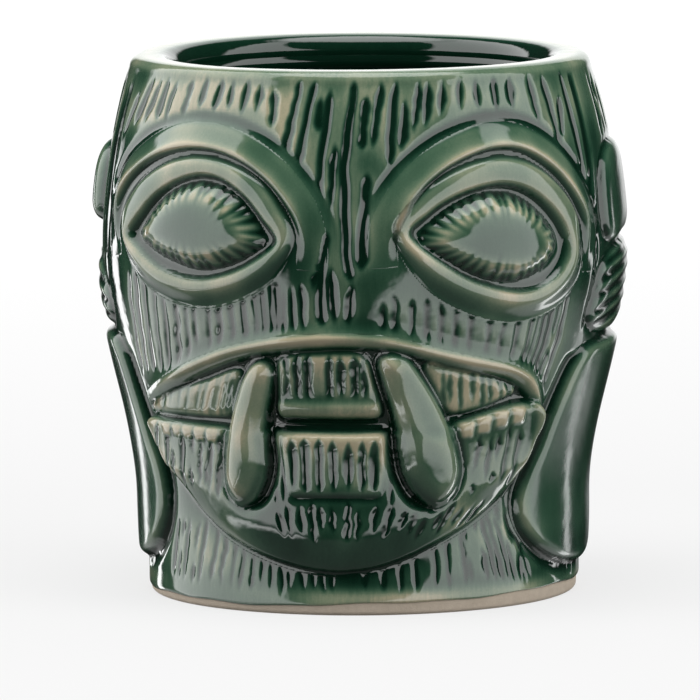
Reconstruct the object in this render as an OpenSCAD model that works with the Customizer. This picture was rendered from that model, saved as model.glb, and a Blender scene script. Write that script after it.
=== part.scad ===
// Tiki mug: a slip-cast, glazed drinking mug whose outside is a carved mask with tusks and long ears.
// Millimetres, +Z up. The origin is the middle of the underside. The face looks along -Y.
// Left is the -X side and right is the +X side, as seen by someone who looks at the face.
//
// Relief forms are placed by [u, z]. u is the way round the wall from the middle of the face,
// measured at the radius face_r and positive towards +X, and z is the height above the table.
// Their outlines are drawn for a mug of design_h, and stretch with its height.

/* [Body] */
// Height of the mug, foot to lip
mug_h = 100; // [90:1:120]
// Outer radius of the narrow part above the foot
waist_r = 40; // [38:0.5:44]
// Outer radius at the widest part, behind the eyes
belly_r = 48.5; // [46:0.5:54]
// Outer radius just under the lip
rim_r = 42; // [40:0.5:46]
// Thickness of the cup's wall
wall_t = 5.5; // [4:0.5:7]
// Radius of the drinking opening
opening_r = 34.4; // [30:0.2:35]

/* [Foot and floor] */
// Height of the band of bare clay round the foot
foot_h = 2.6; // [2:0.1:4]
// Inner radius of the foot ring
foot_inner_r = 33; // [28:0.5:35]
// How far the underside is hollowed inside the foot ring
foot_recess = 1.4; // [0.5:0.1:1.8]
// Height of the cup's floor above the table
floor_top = 8; // [6:0.5:12]
// Radius of the hollow between the floor and the wall
floor_fillet = 8; // [4:0.5:10]
// Thickness of the glaze that lines the cup
liner_t = 0.5; // [0.3:0.1:0.8]

/* [Relief heights] */
// Rise of an eyeball above the wall
eyeball_rise = 2.4; // [1.5:0.1:4]
// Rise of an eyelid's rim above the wall
eyelid_rise = 2.2; // [1.5:0.1:4]
// Rise of a brow ridge above the wall
brow_rise = 2.4; // [1.5:0.1:4]
// Rise of the upper lip above the wall
lip_rise = 2.7; // [1.5:0.1:3]
// Rise of the side teeth above the wall
teeth_rise = 1.3; // [0.8:0.1:2]
// Rise of the front teeth above the wall
front_teeth_rise = 2.2; // [1.5:0.1:2.8]
// Rise of the jaw above the wall
jaw_rise = 2.6; // [2:0.1:3]
// Rise of the lower front teeth above the jaw
lower_front_rise = 1; // [0.5:0.1:2]
// Rise of the small lower teeth above the jaw
lower_side_rise = 0.7; // [0.4:0.1:1.5]
// Rise of a tusk above the jaw
tusk_rise = 3; // [2:0.1:4]
// Rise of the top of an ear above the wall
ear_top_rise = 1.8; // [1:0.1:3]
// Rise of the ribbed middle of an ear above the wall
ear_middle_rise = 1.3; // [1:0.1:3]
// Rise of an ear lobe above the wall
lobe_rise = 2; // [1.5:0.1:4]

/* [Hidden] */

// Radius at which u is measured, and the height that the outlines are drawn for
face_r = 45;
design_h = 100;

// Stations of the wall's outer profile
waist_z = 0.18 * mug_h;
belly_z = 0.64 * mug_h;
crown_power = 2;

// The lip: outer and inner rounding, and where it starts to thicken inwards
lip_outer_round = 2.2;
lip_inner_round = 3.2;
lip_base_z = mug_h - lip_inner_round;
lip_start_z = 0.86 * mug_h;

// The foot's outer edge
foot_round = 0.8;
foot_r = waist_r - 0.5;

// Gap left under each relief form, so that its flat facets stay clear of the round wall
seat_gap = 0.12;
// The jaw's top, which the lower teeth and the tusks stand on
jaw_seat = jaw_rise + seat_gap;

// Above the jaw, a tusk's underside steps down to the wall, and its crest comes down by tusk_taper
tusk_step_z = 35.2;
tusk_step_run = 5;
tusk_taper = 2.4;

// Steps in the curves
profile_steps = 16;
fillet_steps = 5;
lip_steps = 6;
spline_steps = 3;
rings = 5;
across = 6;
$fn = 96;

// Outlines, in [u, z], chosen by hand
left_eyeball_points = [
    [-12.5, 69.5], [-14.5, 74], [-18.5, 78], [-23.5, 80], [-29, 79.4], [-34, 76.8],
    [-38, 73], [-40.5, 69], [-37, 66.8], [-31.5, 65], [-25, 63.8], [-19, 65], [-14.8, 67.2]
];
left_lid_inner_points = [
    [-9.8, 69.6], [-12.5, 74], [-16, 78], [-20.5, 80.8], [-25, 81.5], [-30, 80.3],
    [-35.3, 77.5], [-39.8, 73.5], [-43.5, 69], [-39.5, 65.8], [-33.5, 62.9], [-26, 61.6],
    [-19.5, 62.8], [-14, 65.6]
];
left_lid_outer_points = [
    [-7.6, 70], [-9.6, 75.5], [-13.2, 80.2], [-18.8, 83.5], [-25, 84.7], [-31, 84],
    [-37.2, 81.4], [-42.7, 76.8], [-46.6, 70], [-42, 62.9], [-35.5, 59], [-27, 57.2],
    [-18.5, 58.8], [-11.5, 63]
];
left_brow_path = [
    [-5, 64.5], [-4.8, 70], [-6.4, 75.3], [-10.2, 80.7], [-15, 84.6], [-20, 86.8],
    [-25.5, 87.6], [-31, 87.2], [-36.5, 85.6], [-42, 82.6], [-46.6, 78.6], [-49.6, 74],
    [-50.4, 69], [-49.4, 64.5]
];
right_eyeball_points = [
    [14, 70], [17, 73.6], [21.5, 76.4], [26.5, 78], [31.5, 77.4], [36, 75],
    [39.5, 71.5], [41.3, 68], [39.8, 64.8], [36, 62.4], [31, 61.5], [25.5, 62.3],
    [20.5, 64.5], [16, 67.4]
];
right_lid_inner_points = [
    [12, 70.6], [15.5, 75], [20, 77.8], [25, 79.4], [30, 79.8], [35, 78.4],
    [39.5, 75.2], [43, 71], [44.4, 66.5], [42.5, 62.7], [38.5, 60], [33, 59],
    [26.5, 60.4], [20, 63.6]
];
right_lid_outer_points = [
    [10, 71], [13.3, 77.2], [18.4, 81], [24, 83.2], [30, 84], [35.6, 82.8],
    [41, 79.4], [45.6, 74.2], [48, 67.5], [47, 61], [41.5, 56.4], [33, 54.6],
    [24, 56.4], [15.5, 61.6]
];
right_brow_path = [
    [8.6, 65], [8.5, 70.5], [10.5, 75.6], [14.2, 80.4], [19.3, 84.2], [25, 86.5],
    [30.5, 87.2], [36, 86], [41.6, 82.6], [46.4, 77.8], [49.7, 72.6], [51, 67], [50.6, 61.5]
];
lip_path = [
    [-46.5, 38.2], [-40, 41], [-35, 43], [-30, 45.2], [-25, 47.2], [-20, 49], [-15, 50.3],
    [-9, 51.4], [-3, 52], [3, 52], [8, 51.5], [13, 50.3], [18, 48.8], [23, 47.4],
    [28, 46.2], [33, 44.8], [37, 42.8], [39.6, 40]
];
left_upper_teeth_points = [
    [-45, 36.4], [-40, 38.4], [-33, 40.8], [-26, 42.8], [-20.6, 44.8], [-19.2, 44.2],
    [-20.6, 40.6], [-22, 37.4], [-26, 36.6], [-33, 36.2], [-40, 35.9]
];
right_upper_teeth_points = [
    [16, 46.6], [20, 45.6], [25.5, 44.2], [31, 42.4], [34.4, 40.7], [31.5, 39.6],
    [27.5, 38.3], [23.5, 37.7], [20.8, 38.2], [18.5, 41.2]
];
centre_upper_teeth_points = [
    [-10.8, 47.4], [-8, 48.4], [-2.5, 48.8], [3, 48.8], [5, 47.4], [6.2, 43.5], [7.6, 39.5],
    [7.2, 37.2], [3, 36.9], [-2.5, 36.9], [-8, 36.9], [-11.6, 37.3], [-11.6, 42]
];
jaw_points = [
    [-45.5, 34.2], [-45, 30.5], [-42.5, 26.4], [-39, 22.6], [-34.5, 18.6], [-28.5, 15],
    [-22, 12.2], [-14.5, 9.9], [-7, 8.4], [0, 8], [7, 8.8], [14, 10.8], [21, 13.6],
    [28, 16.6], [33.5, 19.6], [37.5, 23], [40, 27.2], [41, 32], [40.8, 36.4], [37.4, 38.3],
    [31, 37.8], [25, 36.4], [20, 34.8], [12, 34.3], [3, 34.2], [-7, 34.2], [-17, 34.3],
    [-27, 34.5], [-37, 34.7]
];
centre_lower_teeth_points = [
    [-10.8, 33], [-9.5, 34], [-4, 34.1], [2, 34.1], [7.4, 34], [8.6, 32.6], [8.4, 28],
    [7.8, 23.6], [6.6, 22.6], [2, 22.5], [-4, 22.5], [-9, 22.6], [-10.2, 23.8], [-10.8, 28]
];
left_tusk_points = [
    [-13.6, 47.6], [-11.9, 45.6], [-12.6, 41.5], [-13.7, 37.5], [-14.3, 33], [-14.2, 28.5],
    [-15.3, 24.3], [-17.6, 21], [-20.6, 20], [-23, 21.7], [-24.2, 25], [-23.8, 29],
    [-22.6, 34], [-20.8, 39], [-18.4, 44], [-16, 47]
];
right_tusk_points = [
    [8.8, 49.2], [6.9, 47.6], [7.8, 43.5], [9.2, 39], [10.3, 34.5], [10.9, 30], [12, 25.8],
    [14.6, 22], [18, 20], [20.8, 20.7], [23, 23.2], [23.8, 26.8], [22.9, 31], [20.9, 35.6],
    [18.3, 40.2], [15.4, 44.6], [12.4, 48.4]
];
left_ear_top_points = [
    [-66, 75.5], [-67, 80], [-70.5, 83], [-76, 83.8], [-82, 82], [-86, 78], [-86.5, 73],
    [-83, 69.4], [-77, 68.2], [-71, 68.4], [-67, 70.6]
];
right_ear_top_points = [
    [57, 72.5], [58, 78.5], [61.8, 82.6], [68, 84.2], [75.5, 83.6], [82, 80], [84.6, 74.5],
    [82.4, 69.4], [76, 67.2], [68, 67], [61.5, 66], [58.2, 68]
];
left_ear_middle_points = [
    [-57.5, 53.4], [-60.5, 57.6], [-66, 60.8], [-73, 64.4], [-80, 66.2], [-85, 63.6],
    [-86.4, 58.4], [-83.6, 53.6], [-77, 50.9], [-69, 50.2], [-61, 50.6]
];
right_ear_middle_points = [
    [53, 52.6], [54.4, 58.4], [57.4, 62.8], [62.5, 64.6], [69, 65.3], [76, 65.4],
    [82, 64.2], [84.8, 59.6], [82.6, 54], [75.5, 50.6], [66, 49.2], [57.5, 49.6]
];
left_ear_lobe_points = [
    [-56, 48.4], [-52.8, 45.4], [-51.6, 40.6], [-50.3, 35.5], [-48.4, 30], [-46, 25.4],
    [-44.9, 20.2], [-46.2, 15], [-50, 10.8], [-56, 8], [-64, 6.6], [-73, 7.2], [-80.5, 11],
    [-85, 18.5], [-86.4, 27], [-86, 36], [-83.6, 43.6], [-78, 48.2], [-70, 49.3], [-62, 49.2]
];
right_ear_lobe_points = [
    [53.4, 47.2], [49.6, 44], [47.4, 39.4], [45.6, 34.4], [43.9, 29.6], [41, 24.6],
    [38.9, 20], [40, 15.3], [44.2, 11.2], [51, 8], [59.5, 6.2], [68.5, 6.4], [76.5, 9.6],
    [81.6, 16], [84, 25], [84.2, 35], [82, 43], [76.6, 47.4], [69, 48.4], [61, 48]
];

// The small lower teeth: [u, z] of each one's middle, and its half width and half height
left_lower_teeth_spots = [[-38, 33], [-35, 33.1], [-32, 33.1], [-29, 33], [-26, 32.9]];
right_lower_teeth_spots = [[24, 34.2], [27.4, 35], [31, 35.8], [34.8, 36.2]];
left_tooth_half = [1.1, 1];
right_tooth_half = [1.4, 1.6];
tooth_corners = 12;

// Half widths along the ridges, from end to end
brow_end_w = 1.1;
brow_mid_w = 1.9;
lip_end_w = 0.7;
lip_mid_w = 1.6;

// Eases from 0 to 1
function ease(t) = t * t * (3 - 2 * t);

// Outer radius of the bare wall at height z
function wall_r(z) =
    z <= waist_z ? waist_r :
    z <= belly_z ? waist_r + (belly_r - waist_r) * ease((z - waist_z) / (belly_z - waist_z)) :
    belly_r - (belly_r - rim_r) * pow((z - belly_z) / (mug_h - belly_z), crown_power);

// Extra inward thickness under the lip
function lip_swell(z) =
    z <= lip_start_z ? 0 :
    (wall_r(lip_base_z) - wall_t - opening_r)
        * ease(min(1, (z - lip_start_z) / (lip_base_z - lip_start_z)));

// Inner radius of the cup at height z
function inner_r(z) =
    z >= lip_base_z ? opening_r : max(opening_r, wall_r(z) - wall_t - lip_swell(z));

// Point on the wall at [u, z], lifted by h along the radius
function on_wall(p, h) =
    let (z = p[1] * mug_h / design_h, a = p[0] / face_r * 180 / PI, r = wall_r(z) + h)
    [r * sin(a), -r * cos(a), z];

// Catmull-Rom spline through four points, at t from 0 to 1
function spline_point(a, b, c, d, t) =
    0.5 * (2 * b + (c - a) * t + (2 * a - 5 * b + 4 * c - d) * t * t
        + (3 * b - a - 3 * c + d) * t * t * t);

// Smooth closed outline through the given points
function closed_curve(p) =
    let (n = len(p))
    [for (i = [0:n - 1], k = [0:spline_steps - 1])
        spline_point(p[(i + n - 1) % n], p[i], p[(i + 1) % n], p[(i + 2) % n], k / spline_steps)];

// Smooth open path through the given points
function open_curve(p) =
    let (n = len(p))
    concat(
        [for (i = [0:n - 2], k = [0:spline_steps - 1])
            spline_point(p[max(i - 1, 0)], p[i], p[i + 1], p[min(i + 2, n - 1)], k / spline_steps)],
        [p[n - 1]]
    );

// Middle of a list of points
function middle(p) = [for (k = [0:1]) (min([for (q = p) q[k]]) + max([for (q = p) q[k]])) / 2];

// Reverses a list
function reversed(v) = [for (i = [len(v) - 1:-1:0]) v[i]];

// Outline of a small tooth with rounded corners
function tooth_outline(spot, half) =
    [for (i = [0:tooth_corners - 1])
        let (a = 360 * i / tooth_corners, c = cos(a), s = sin(a))
        spot + [half[0] * sign(c) * sqrt(abs(c)), half[1] * sign(s) * sqrt(abs(s))]];

// Pillow on the wall: a closed outline, the heights of its underside and its crest above the wall,
// as functions of z, and how square its shoulder is. A higher shoulder makes a flatter top and a
// steeper side.
module pillow(outline, seat, crest, shoulder) {
    n = len(outline);
    c = middle(outline);
    ring_points = function(k) [for (p = outline) c + (p - c) * (1 - k / rings)];
    swell = function(k) pow(1 - pow(1 - k / rings, shoulder), 1 / 2);
    top_point = function(p, k) on_wall(p, seat(p[1]) + (crest(p[1]) - seat(p[1])) * swell(k));
    top = [for (k = [0:rings - 1], p = ring_points(k)) top_point(p, k)];
    bottom = [for (k = [1:rings - 1], p = ring_points(k)) on_wall(p, seat(p[1]))];
    top_mid = len(top);
    bottom_mid = top_mid + 1 + len(bottom);
    under = function(k, i) k == 0 ? i % n : top_mid + 1 + (k - 1) * n + i % n;
    points = concat(top, [on_wall(c, crest(c[1]))], bottom, [on_wall(c, seat(c[1]))]);
    top_faces = concat(
        [for (k = [0:rings - 2], i = [0:n - 1])
            [k * n + i, (k + 1) * n + i, (k + 1) * n + (i + 1) % n, k * n + (i + 1) % n]],
        [for (i = [0:n - 1]) [(rings - 1) * n + i, top_mid, (rings - 1) * n + (i + 1) % n]]
    );
    bottom_faces = concat(
        [for (k = [0:rings - 2], i = [0:n - 1])
            [under(k, i), under(k, i + 1), under(k + 1, i + 1), under(k + 1, i)]],
        [for (i = [0:n - 1]) [under(rings - 1, i), under(rings - 1, i + 1), bottom_mid]]
    );
    faces = concat(top_faces, bottom_faces);
    polyhedron(points, turns_left(outline) ? faces : [for (f = faces) reversed(f)]);
}

// Pillow whose underside and rise are the same all over
module even_pillow(outline, seat, rise, shoulder) {
    pillow(outline, function(z) seat, function(z) seat + rise, shoulder);
}

// True when a closed outline runs anticlockwise in the [u, z] plane
function turns_left(p) =
    let (n = len(p), twice = [for (i = [0:n - 1]) cross(p[i], p[(i + 1) % n])])
    twice * [for (t = twice) 1] > 0;

// Rolled band between two closed outlines that have the same number of points
module rolled_band(inner, outer, seat, rise) {
    n = len(inner);
    row = 2 * across;
    section = function(i) concat(
        [for (k = [0:across])
            on_wall(inner[i] + (outer[i] - inner[i]) * k / across, seat + rise * sin(180 * k / across))],
        [for (k = [across - 1:-1:1]) on_wall(inner[i] + (outer[i] - inner[i]) * k / across, seat)]
    );
    points = [for (i = [0:n - 1], p = section(i)) p];
    faces = [for (i = [0:n - 1], k = [0:row - 1])
        [i * row + k, i * row + (k + 1) % row,
            (i + 1) % n * row + (k + 1) % row, (i + 1) % n * row + k]];
    polyhedron(points, turns_left(inner) ? faces : [for (f = faces) reversed(f)]);
}

// Rounded ridge along an open path, with its half width eased from end_w to mid_w and back
module ridge(path, seat, rise, end_w, mid_w) {
    n = len(path);
    row = 2 * across;
    swell = function(i) sqrt(sin(180 * i / (n - 1)));
    along = function(i) path[min(i + 1, n - 1)] - path[max(i - 1, 0)];
    side = function(i) let (d = along(i)) [-d[1], d[0]] / norm(d) * (end_w + (mid_w - end_w) * swell(i));
    lift = function(i, k) seat + rise * (0.35 + 0.65 * swell(i)) * sin(180 * k / across);
    section = function(i) concat(
        [for (k = [0:across]) on_wall(path[i] + side(i) * (2 * k / across - 1), lift(i, k))],
        [for (k = [across - 1:-1:1]) on_wall(path[i] + side(i) * (2 * k / across - 1), seat)]
    );
    points = [for (i = [0:n - 1], p = section(i)) p];
    sides = [for (i = [0:n - 2], k = [0:row - 1])
        [i * row + k, i * row + (k + 1) % row, (i + 1) * row + (k + 1) % row, (i + 1) * row + k]];
    first_end = [for (k = [row - 1:-1:0]) k];
    last_end = [for (k = [0:row - 1]) (n - 1) * row + k];
    polyhedron(points, concat(sides, [first_end, last_end]));
}

// Heights of the profile's stations, between two heights
function stations(z0, z1) = [for (i = [0:profile_steps]) z0 + (z1 - z0) * i / profile_steps];

// Points down the inside of the cup, from the lip to the edge of the flat floor, drawn in by t
function inside_points(t) =
    let (low = floor_top + floor_fillet, r = waist_r - wall_t - t)
    concat(
        [for (z = reversed(stations(low, lip_base_z))) [inner_r(z) - t, z]],
        [for (i = [1:fillet_steps])
            let (a = 90 * i / fillet_steps)
            [r - floor_fillet + floor_fillet * cos(a), low - (floor_fillet - t) * sin(a)]]
    );

flat_floor_r = waist_r - wall_t - floor_fillet;

// Points of an arc in the wall's section, at equal angles
function arc_points(c, r, start, end) =
    [for (i = [0:lip_steps])
        let (a = start + (end - start) * i / lip_steps)
        c + r * [cos(a), sin(a)]];

module cup_wall() {
    lip_z = mug_h - lip_outer_round;
    lean = atan(wall_r(lip_z - 0.5) - wall_r(lip_z + 0.5));
    meet_z = lip_z + lip_outer_round * sin(lean);
    outer_c = [wall_r(meet_z) - lip_outer_round * cos(lean), lip_z];
    inner_c = [opening_r + lip_inner_round, lip_base_z];
    color([0.13, 0.33, 0.26])
    rotate_extrude()
    polygon(concat(
        [[flat_floor_r, foot_h]],
        [for (z = stations(foot_h, meet_z)) if (z < meet_z) [wall_r(z), z]],
        arc_points(outer_c, lip_outer_round, lean, 90),
        arc_points(inner_c, lip_inner_round, 90, 180),
        [for (p = inside_points(0)) if (p[1] < lip_base_z) p]
    ));
}

module cup_floor() {
    color([0.1, 0.27, 0.21])
    rotate_extrude()
    polygon([
        [0, foot_recess], [foot_inner_r, foot_recess], [foot_inner_r, foot_h],
        [flat_floor_r, foot_h], [flat_floor_r, floor_top], [0, floor_top]
    ]);
}

module foot_ring() {
    color([0.78, 0.68, 0.6])
    rotate_extrude() {
        translate([foot_inner_r, 0]) square([foot_r - foot_round - foot_inner_r, foot_h]);
        translate([foot_inner_r, foot_round]) square([foot_r - foot_inner_r, foot_h - foot_round]);
        translate([foot_r - foot_round, foot_round]) circle(foot_round);
    }
}

module liner_glaze() {
    lining = concat(inside_points(liner_t), [[0, floor_top + liner_t], [0, floor_top]],
        reversed(inside_points(0)));
    color([0.02, 0.13, 0.09])
    rotate_extrude() polygon(lining);
}

module eyeball(points) {
    color([0.36, 0.5, 0.42]) even_pillow(closed_curve(points), seat_gap, eyeball_rise, 2);
}

module left_eyeball() { eyeball(left_eyeball_points); }
module right_eyeball() { eyeball(right_eyeball_points); }

module eyelid(inner, outer) {
    color([0.56, 0.6, 0.48])
    rolled_band(closed_curve(inner), closed_curve(outer), seat_gap, eyelid_rise);
}

module left_eyelid() { eyelid(left_lid_inner_points, left_lid_outer_points); }
module right_eyelid() { eyelid(right_lid_inner_points, right_lid_outer_points); }

module brow(path) {
    color([0.6, 0.62, 0.5]) ridge(open_curve(path), seat_gap, brow_rise, brow_end_w, brow_mid_w);
}

module left_brow() { brow(reversed(left_brow_path)); }
module right_brow() { brow(right_brow_path); }

module upper_lip() {
    color([0.5, 0.56, 0.44]) ridge(open_curve(lip_path), seat_gap, lip_rise, lip_end_w, lip_mid_w);
}

module side_teeth(points) {
    color([0.66, 0.68, 0.56]) even_pillow(closed_curve(points), seat_gap, teeth_rise, 4);
}

module left_upper_teeth() { side_teeth(left_upper_teeth_points); }
module right_upper_teeth() { side_teeth(right_upper_teeth_points); }

module centre_upper_teeth() {
    color([0.3, 0.42, 0.35])
    even_pillow(closed_curve(centre_upper_teeth_points), seat_gap, front_teeth_rise, 4);
}

module jaw() {
    color([0.26, 0.4, 0.33]) even_pillow(closed_curve(jaw_points), seat_gap, jaw_rise, 6);
}

module lower_teeth(spots, half) {
    color([0.66, 0.68, 0.56])
    for (spot = spots) even_pillow(tooth_outline(spot, half), jaw_seat + seat_gap, lower_side_rise, 4);
}

module left_lower_teeth() { lower_teeth(left_lower_teeth_spots, left_tooth_half); }
module right_lower_teeth() { lower_teeth(right_lower_teeth_spots, right_tooth_half); }

module centre_lower_teeth() {
    color([0.44, 0.52, 0.42])
    even_pillow(closed_curve(centre_lower_teeth_points), jaw_seat + seat_gap, lower_front_rise, 5);
}

// A tusk stands on the jaw, and above it on the wall, where it is thinner
module tusk(points) {
    step_down = function(z) ease(max(0, min(1, (z - tusk_step_z) / tusk_step_run)));
    seat = function(z) jaw_seat + seat_gap - jaw_seat * step_down(z);
    crest = function(z) jaw_seat + seat_gap + tusk_rise - tusk_taper * step_down(z);
    color([0.42, 0.52, 0.42]) pillow(closed_curve(points), seat, crest, 2);
}

module left_tusk() { tusk(left_tusk_points); }
module right_tusk() { tusk(right_tusk_points); }

module ear_top(points) {
    color([0.16, 0.36, 0.29]) even_pillow(closed_curve(points), seat_gap, ear_top_rise, 2);
}

module left_ear_top() { ear_top(left_ear_top_points); }
module right_ear_top() { ear_top(right_ear_top_points); }

module ear_middle(points) {
    color([0.46, 0.54, 0.43]) even_pillow(closed_curve(points), seat_gap, ear_middle_rise, 2);
}

module left_ear_middle() { ear_middle(left_ear_middle_points); }
module right_ear_middle() { ear_middle(right_ear_middle_points); }

module ear_lobe(points) {
    color([0.34, 0.46, 0.37]) even_pillow(closed_curve(points), seat_gap, lobe_rise, 3);
}

module left_ear_lobe() { ear_lobe(left_ear_lobe_points); }
module right_ear_lobe() { ear_lobe(right_ear_lobe_points); }

cup_wall();
cup_floor();
foot_ring();
liner_glaze();
left_eyeball();
right_eyeball();
left_eyelid();
right_eyelid();
left_brow();
right_brow();
upper_lip();
left_upper_teeth();
centre_upper_teeth();
right_upper_teeth();
jaw();
left_lower_teeth();
centre_lower_teeth();
right_lower_teeth();
left_tusk();
right_tusk();
left_ear_top();
right_ear_top();
left_ear_middle();
right_ear_middle();
left_ear_lobe();
right_ear_lobe();
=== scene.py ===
"""Looks of the tiki mug: the carved face, its grain and its pooled green glaze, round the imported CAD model.

Relief is placed by [u, z] in millimetres, as in the CAD. u is the way round the wall from the middle of
the face, measured at the radius FACE_R and positive towards +X, and z is the height above the table. One
height field over the whole wall holds the carving. Every piece is cut from that field, so where two
pieces meet their surfaces run into each other, as on a mug that was cast in one.
"""
import math

import bpy
import numpy as np
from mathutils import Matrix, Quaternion, Vector


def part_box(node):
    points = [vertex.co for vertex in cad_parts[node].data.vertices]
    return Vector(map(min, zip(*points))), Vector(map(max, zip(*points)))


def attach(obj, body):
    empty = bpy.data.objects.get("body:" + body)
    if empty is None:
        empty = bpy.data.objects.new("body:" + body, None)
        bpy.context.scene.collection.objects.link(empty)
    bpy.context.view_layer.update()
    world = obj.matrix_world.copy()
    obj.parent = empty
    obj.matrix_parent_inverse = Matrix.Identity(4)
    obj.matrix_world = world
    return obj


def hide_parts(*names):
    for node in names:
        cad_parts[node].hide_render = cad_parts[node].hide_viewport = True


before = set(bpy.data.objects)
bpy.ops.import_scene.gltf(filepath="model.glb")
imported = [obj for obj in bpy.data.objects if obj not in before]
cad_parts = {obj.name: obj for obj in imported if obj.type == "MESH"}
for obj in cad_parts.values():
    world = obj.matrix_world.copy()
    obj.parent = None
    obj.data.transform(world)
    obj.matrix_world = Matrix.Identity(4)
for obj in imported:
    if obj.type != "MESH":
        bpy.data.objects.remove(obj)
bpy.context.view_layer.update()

MM = 0.001
# The only source of chance, so that every run gives the same mug
rng = np.random.default_rng(7)

# The cup's measures, in mm, as in the CAD
MUG_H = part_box("cup_wall")[1].z / MM
WAIST_R, BELLY_R, RIM_R = 40.0, 48.5, 42.0
WAIST_Z, BELLY_Z, CROWN_POWER = 18.0, 64.0, 2.0
WALL_T, OPENING_R = 5.5, 34.4
LIP_OUTER_ROUND, LIP_INNER_ROUND = 2.2, 3.2
LIP_START_Z, LIP_BASE_Z = 86.0, MUG_H - LIP_INNER_ROUND
FOOT_H, FOOT_R, FOOT_INNER_R, FOOT_RECESS = 2.6, 39.5, 33.0, 1.4
FLOOR_TOP, FLOOR_FILLET, LINER_T = 8.0, 8.0, 0.5
FACE_R = 45.0

# The height field's grid
N_U, N_Z = 944, 335
U_STEP = 2 * math.pi * FACE_R / N_U
Z_STEP = MUG_H / (N_Z - 1)
u_axis = (np.arange(N_U) - N_U // 2) * U_STEP
z_axis = np.arange(N_Z) * Z_STEP
U, Z = np.meshgrid(u_axis, z_axis)


# ---------------------------------------------------------------- curves and distances

def ease(t):
    """0 below 0, 1 above 1, and a smooth step between."""
    t = np.clip(t, 0, 1)
    return t * t * (3 - 2 * t)


def fade(field, start, end):
    """1 where field is below start, 0 above end."""
    return 1 - ease((field - start) / (end - start))


def smooth_max(a, b, k):
    """The larger of two fields, with the line where they meet rounded over about k."""
    h = np.clip(0.5 + 0.5 * (a - b) / k, 0, 1)
    return b * (1 - h) + a * h + k * h * (1 - h)


def spline(points, closed, steps=6):
    """Catmull-Rom curve through given points."""
    p = np.array(points, float)
    n = len(p)
    out = []
    for i in range(n if closed else n - 1):
        if closed:
            a, b, c, d = p[i - 1], p[i], p[(i + 1) % n], p[(i + 2) % n]
        else:
            a, b, c, d = p[max(i - 1, 0)], p[i], p[i + 1], p[min(i + 2, n - 1)]
        for t in np.arange(steps) / steps:
            out.append(0.5 * (2 * b + (c - a) * t + (2 * a - 5 * b + 4 * c - d) * t * t
                              + (3 * b - a - 3 * c + d) * t ** 3))
    if not closed:
        out.append(p[-1])
    return np.array(out)


def window(path, pad):
    """Slices of the grid that hold a path and a margin round it."""
    lo, hi = path.min(0) - pad, path.max(0) + pad
    i0, i1 = np.searchsorted(u_axis, [lo[0], hi[0]])
    j0, j1 = np.searchsorted(z_axis, [lo[1], hi[1]])
    return slice(j0, j1), slice(i0, i1)


def nearest(path, closed, pad):
    """Distance to a path, which side of it, and how far along it, on the whole grid."""
    far = np.full(U.shape, 1e3)
    side = np.ones(U.shape)
    along = np.zeros(U.shape)
    w = window(path, pad)
    x, y = U[w], Z[w]
    best, best_side, best_along = far[w].copy(), side[w].copy(), along[w].copy()
    ends = np.vstack([path, path[:1]]) if closed else path
    lengths = np.r_[0, np.cumsum(np.hypot(*np.diff(ends, axis=0).T))]
    for k in range(len(ends) - 1):
        a, b = ends[k], ends[k + 1]
        d = b - a
        length2 = max(d @ d, 1e-9)
        t = np.clip(((x - a[0]) * d[0] + (y - a[1]) * d[1]) / length2, 0, 1)
        dx, dy = x - a[0] - t * d[0], y - a[1] - t * d[1]
        dist = np.hypot(dx, dy)
        nearer = dist < best - 1e-9
        best = np.where(nearer, dist, best)
        best_side = np.where(nearer, np.sign(d[0] * dy - d[1] * dx), best_side)
        best_along = np.where(nearer, (lengths[k] + t * math.sqrt(length2)) / lengths[-1], best_along)
    far[w], side[w], along[w] = best, best_side, best_along
    return far, side, along


def inside_distance(points, pad=7.0):
    """Signed distance to a closed outline, positive inside."""
    path = spline(points, True)
    dist, _, _ = nearest(path, True, pad)
    w = window(path, pad)
    x, y = U[w], Z[w]
    odd = np.zeros(x.shape, bool)
    for a, b in zip(path, np.roll(path, -1, axis=0)):
        crosses = (a[1] > y) != (b[1] > y)
        at = a[0] + (y - a[1]) / np.where(b[1] == a[1], 1e-9, b[1] - a[1]) * (b[0] - a[0])
        odd ^= crosses & (x < at)
    sign = np.full(U.shape, -1.0)
    sign[w] = np.where(odd, 1.0, -1.0)
    return dist * sign


def path_offset(points, pad=9.0):
    """Distance from an open path, positive on its left, and how far along it."""
    dist, side, along = nearest(spline(points, False), False, pad)
    return dist * side, along


def blur(field, size_mm):
    """Gaussian blur, wrapped round the wall."""
    sigma = size_mm / U_STEP
    reach = int(3 * sigma) + 1
    k = np.exp(-0.5 * (np.arange(-reach, reach + 1) / sigma) ** 2)
    k /= k.sum()
    wide = np.concatenate([field[:, -reach:], field, field[:, :reach]], axis=1)
    across = sum(k[i] * wide[:, i:i + field.shape[1]] for i in range(2 * reach + 1))
    tall = np.concatenate([np.repeat(across[:1], reach, 0), across, np.repeat(across[-1:], reach, 0)])
    return sum(k[i] * tall[i:i + field.shape[0]] for i in range(2 * reach + 1))


def cloud(size_mm, stretch=1.0):
    """Smooth random field of unit spread, with blotches size_mm wide and stretch times as high."""
    n_u = max(8, int(2 * math.pi * FACE_R / size_mm))
    n_z = max(4, int(MUG_H / size_mm / stretch) + 3)
    coarse = rng.standard_normal((n_z, n_u))
    fu = (np.arange(N_U) / N_U) * n_u
    fz = np.linspace(0, n_z - 1.001, N_Z)
    iu, iz = fu.astype(int), fz.astype(int)
    tu, tz = ease(fu - iu), ease(fz - iz)[:, None]
    a = coarse[iz][:, iu % n_u] * (1 - tu) + coarse[iz][:, (iu + 1) % n_u] * tu
    b = coarse[iz + 1][:, iu % n_u] * (1 - tu) + coarse[iz + 1][:, (iu + 1) % n_u] * tu
    field = a * (1 - tz) + b * tz
    return field / field.std()


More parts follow.
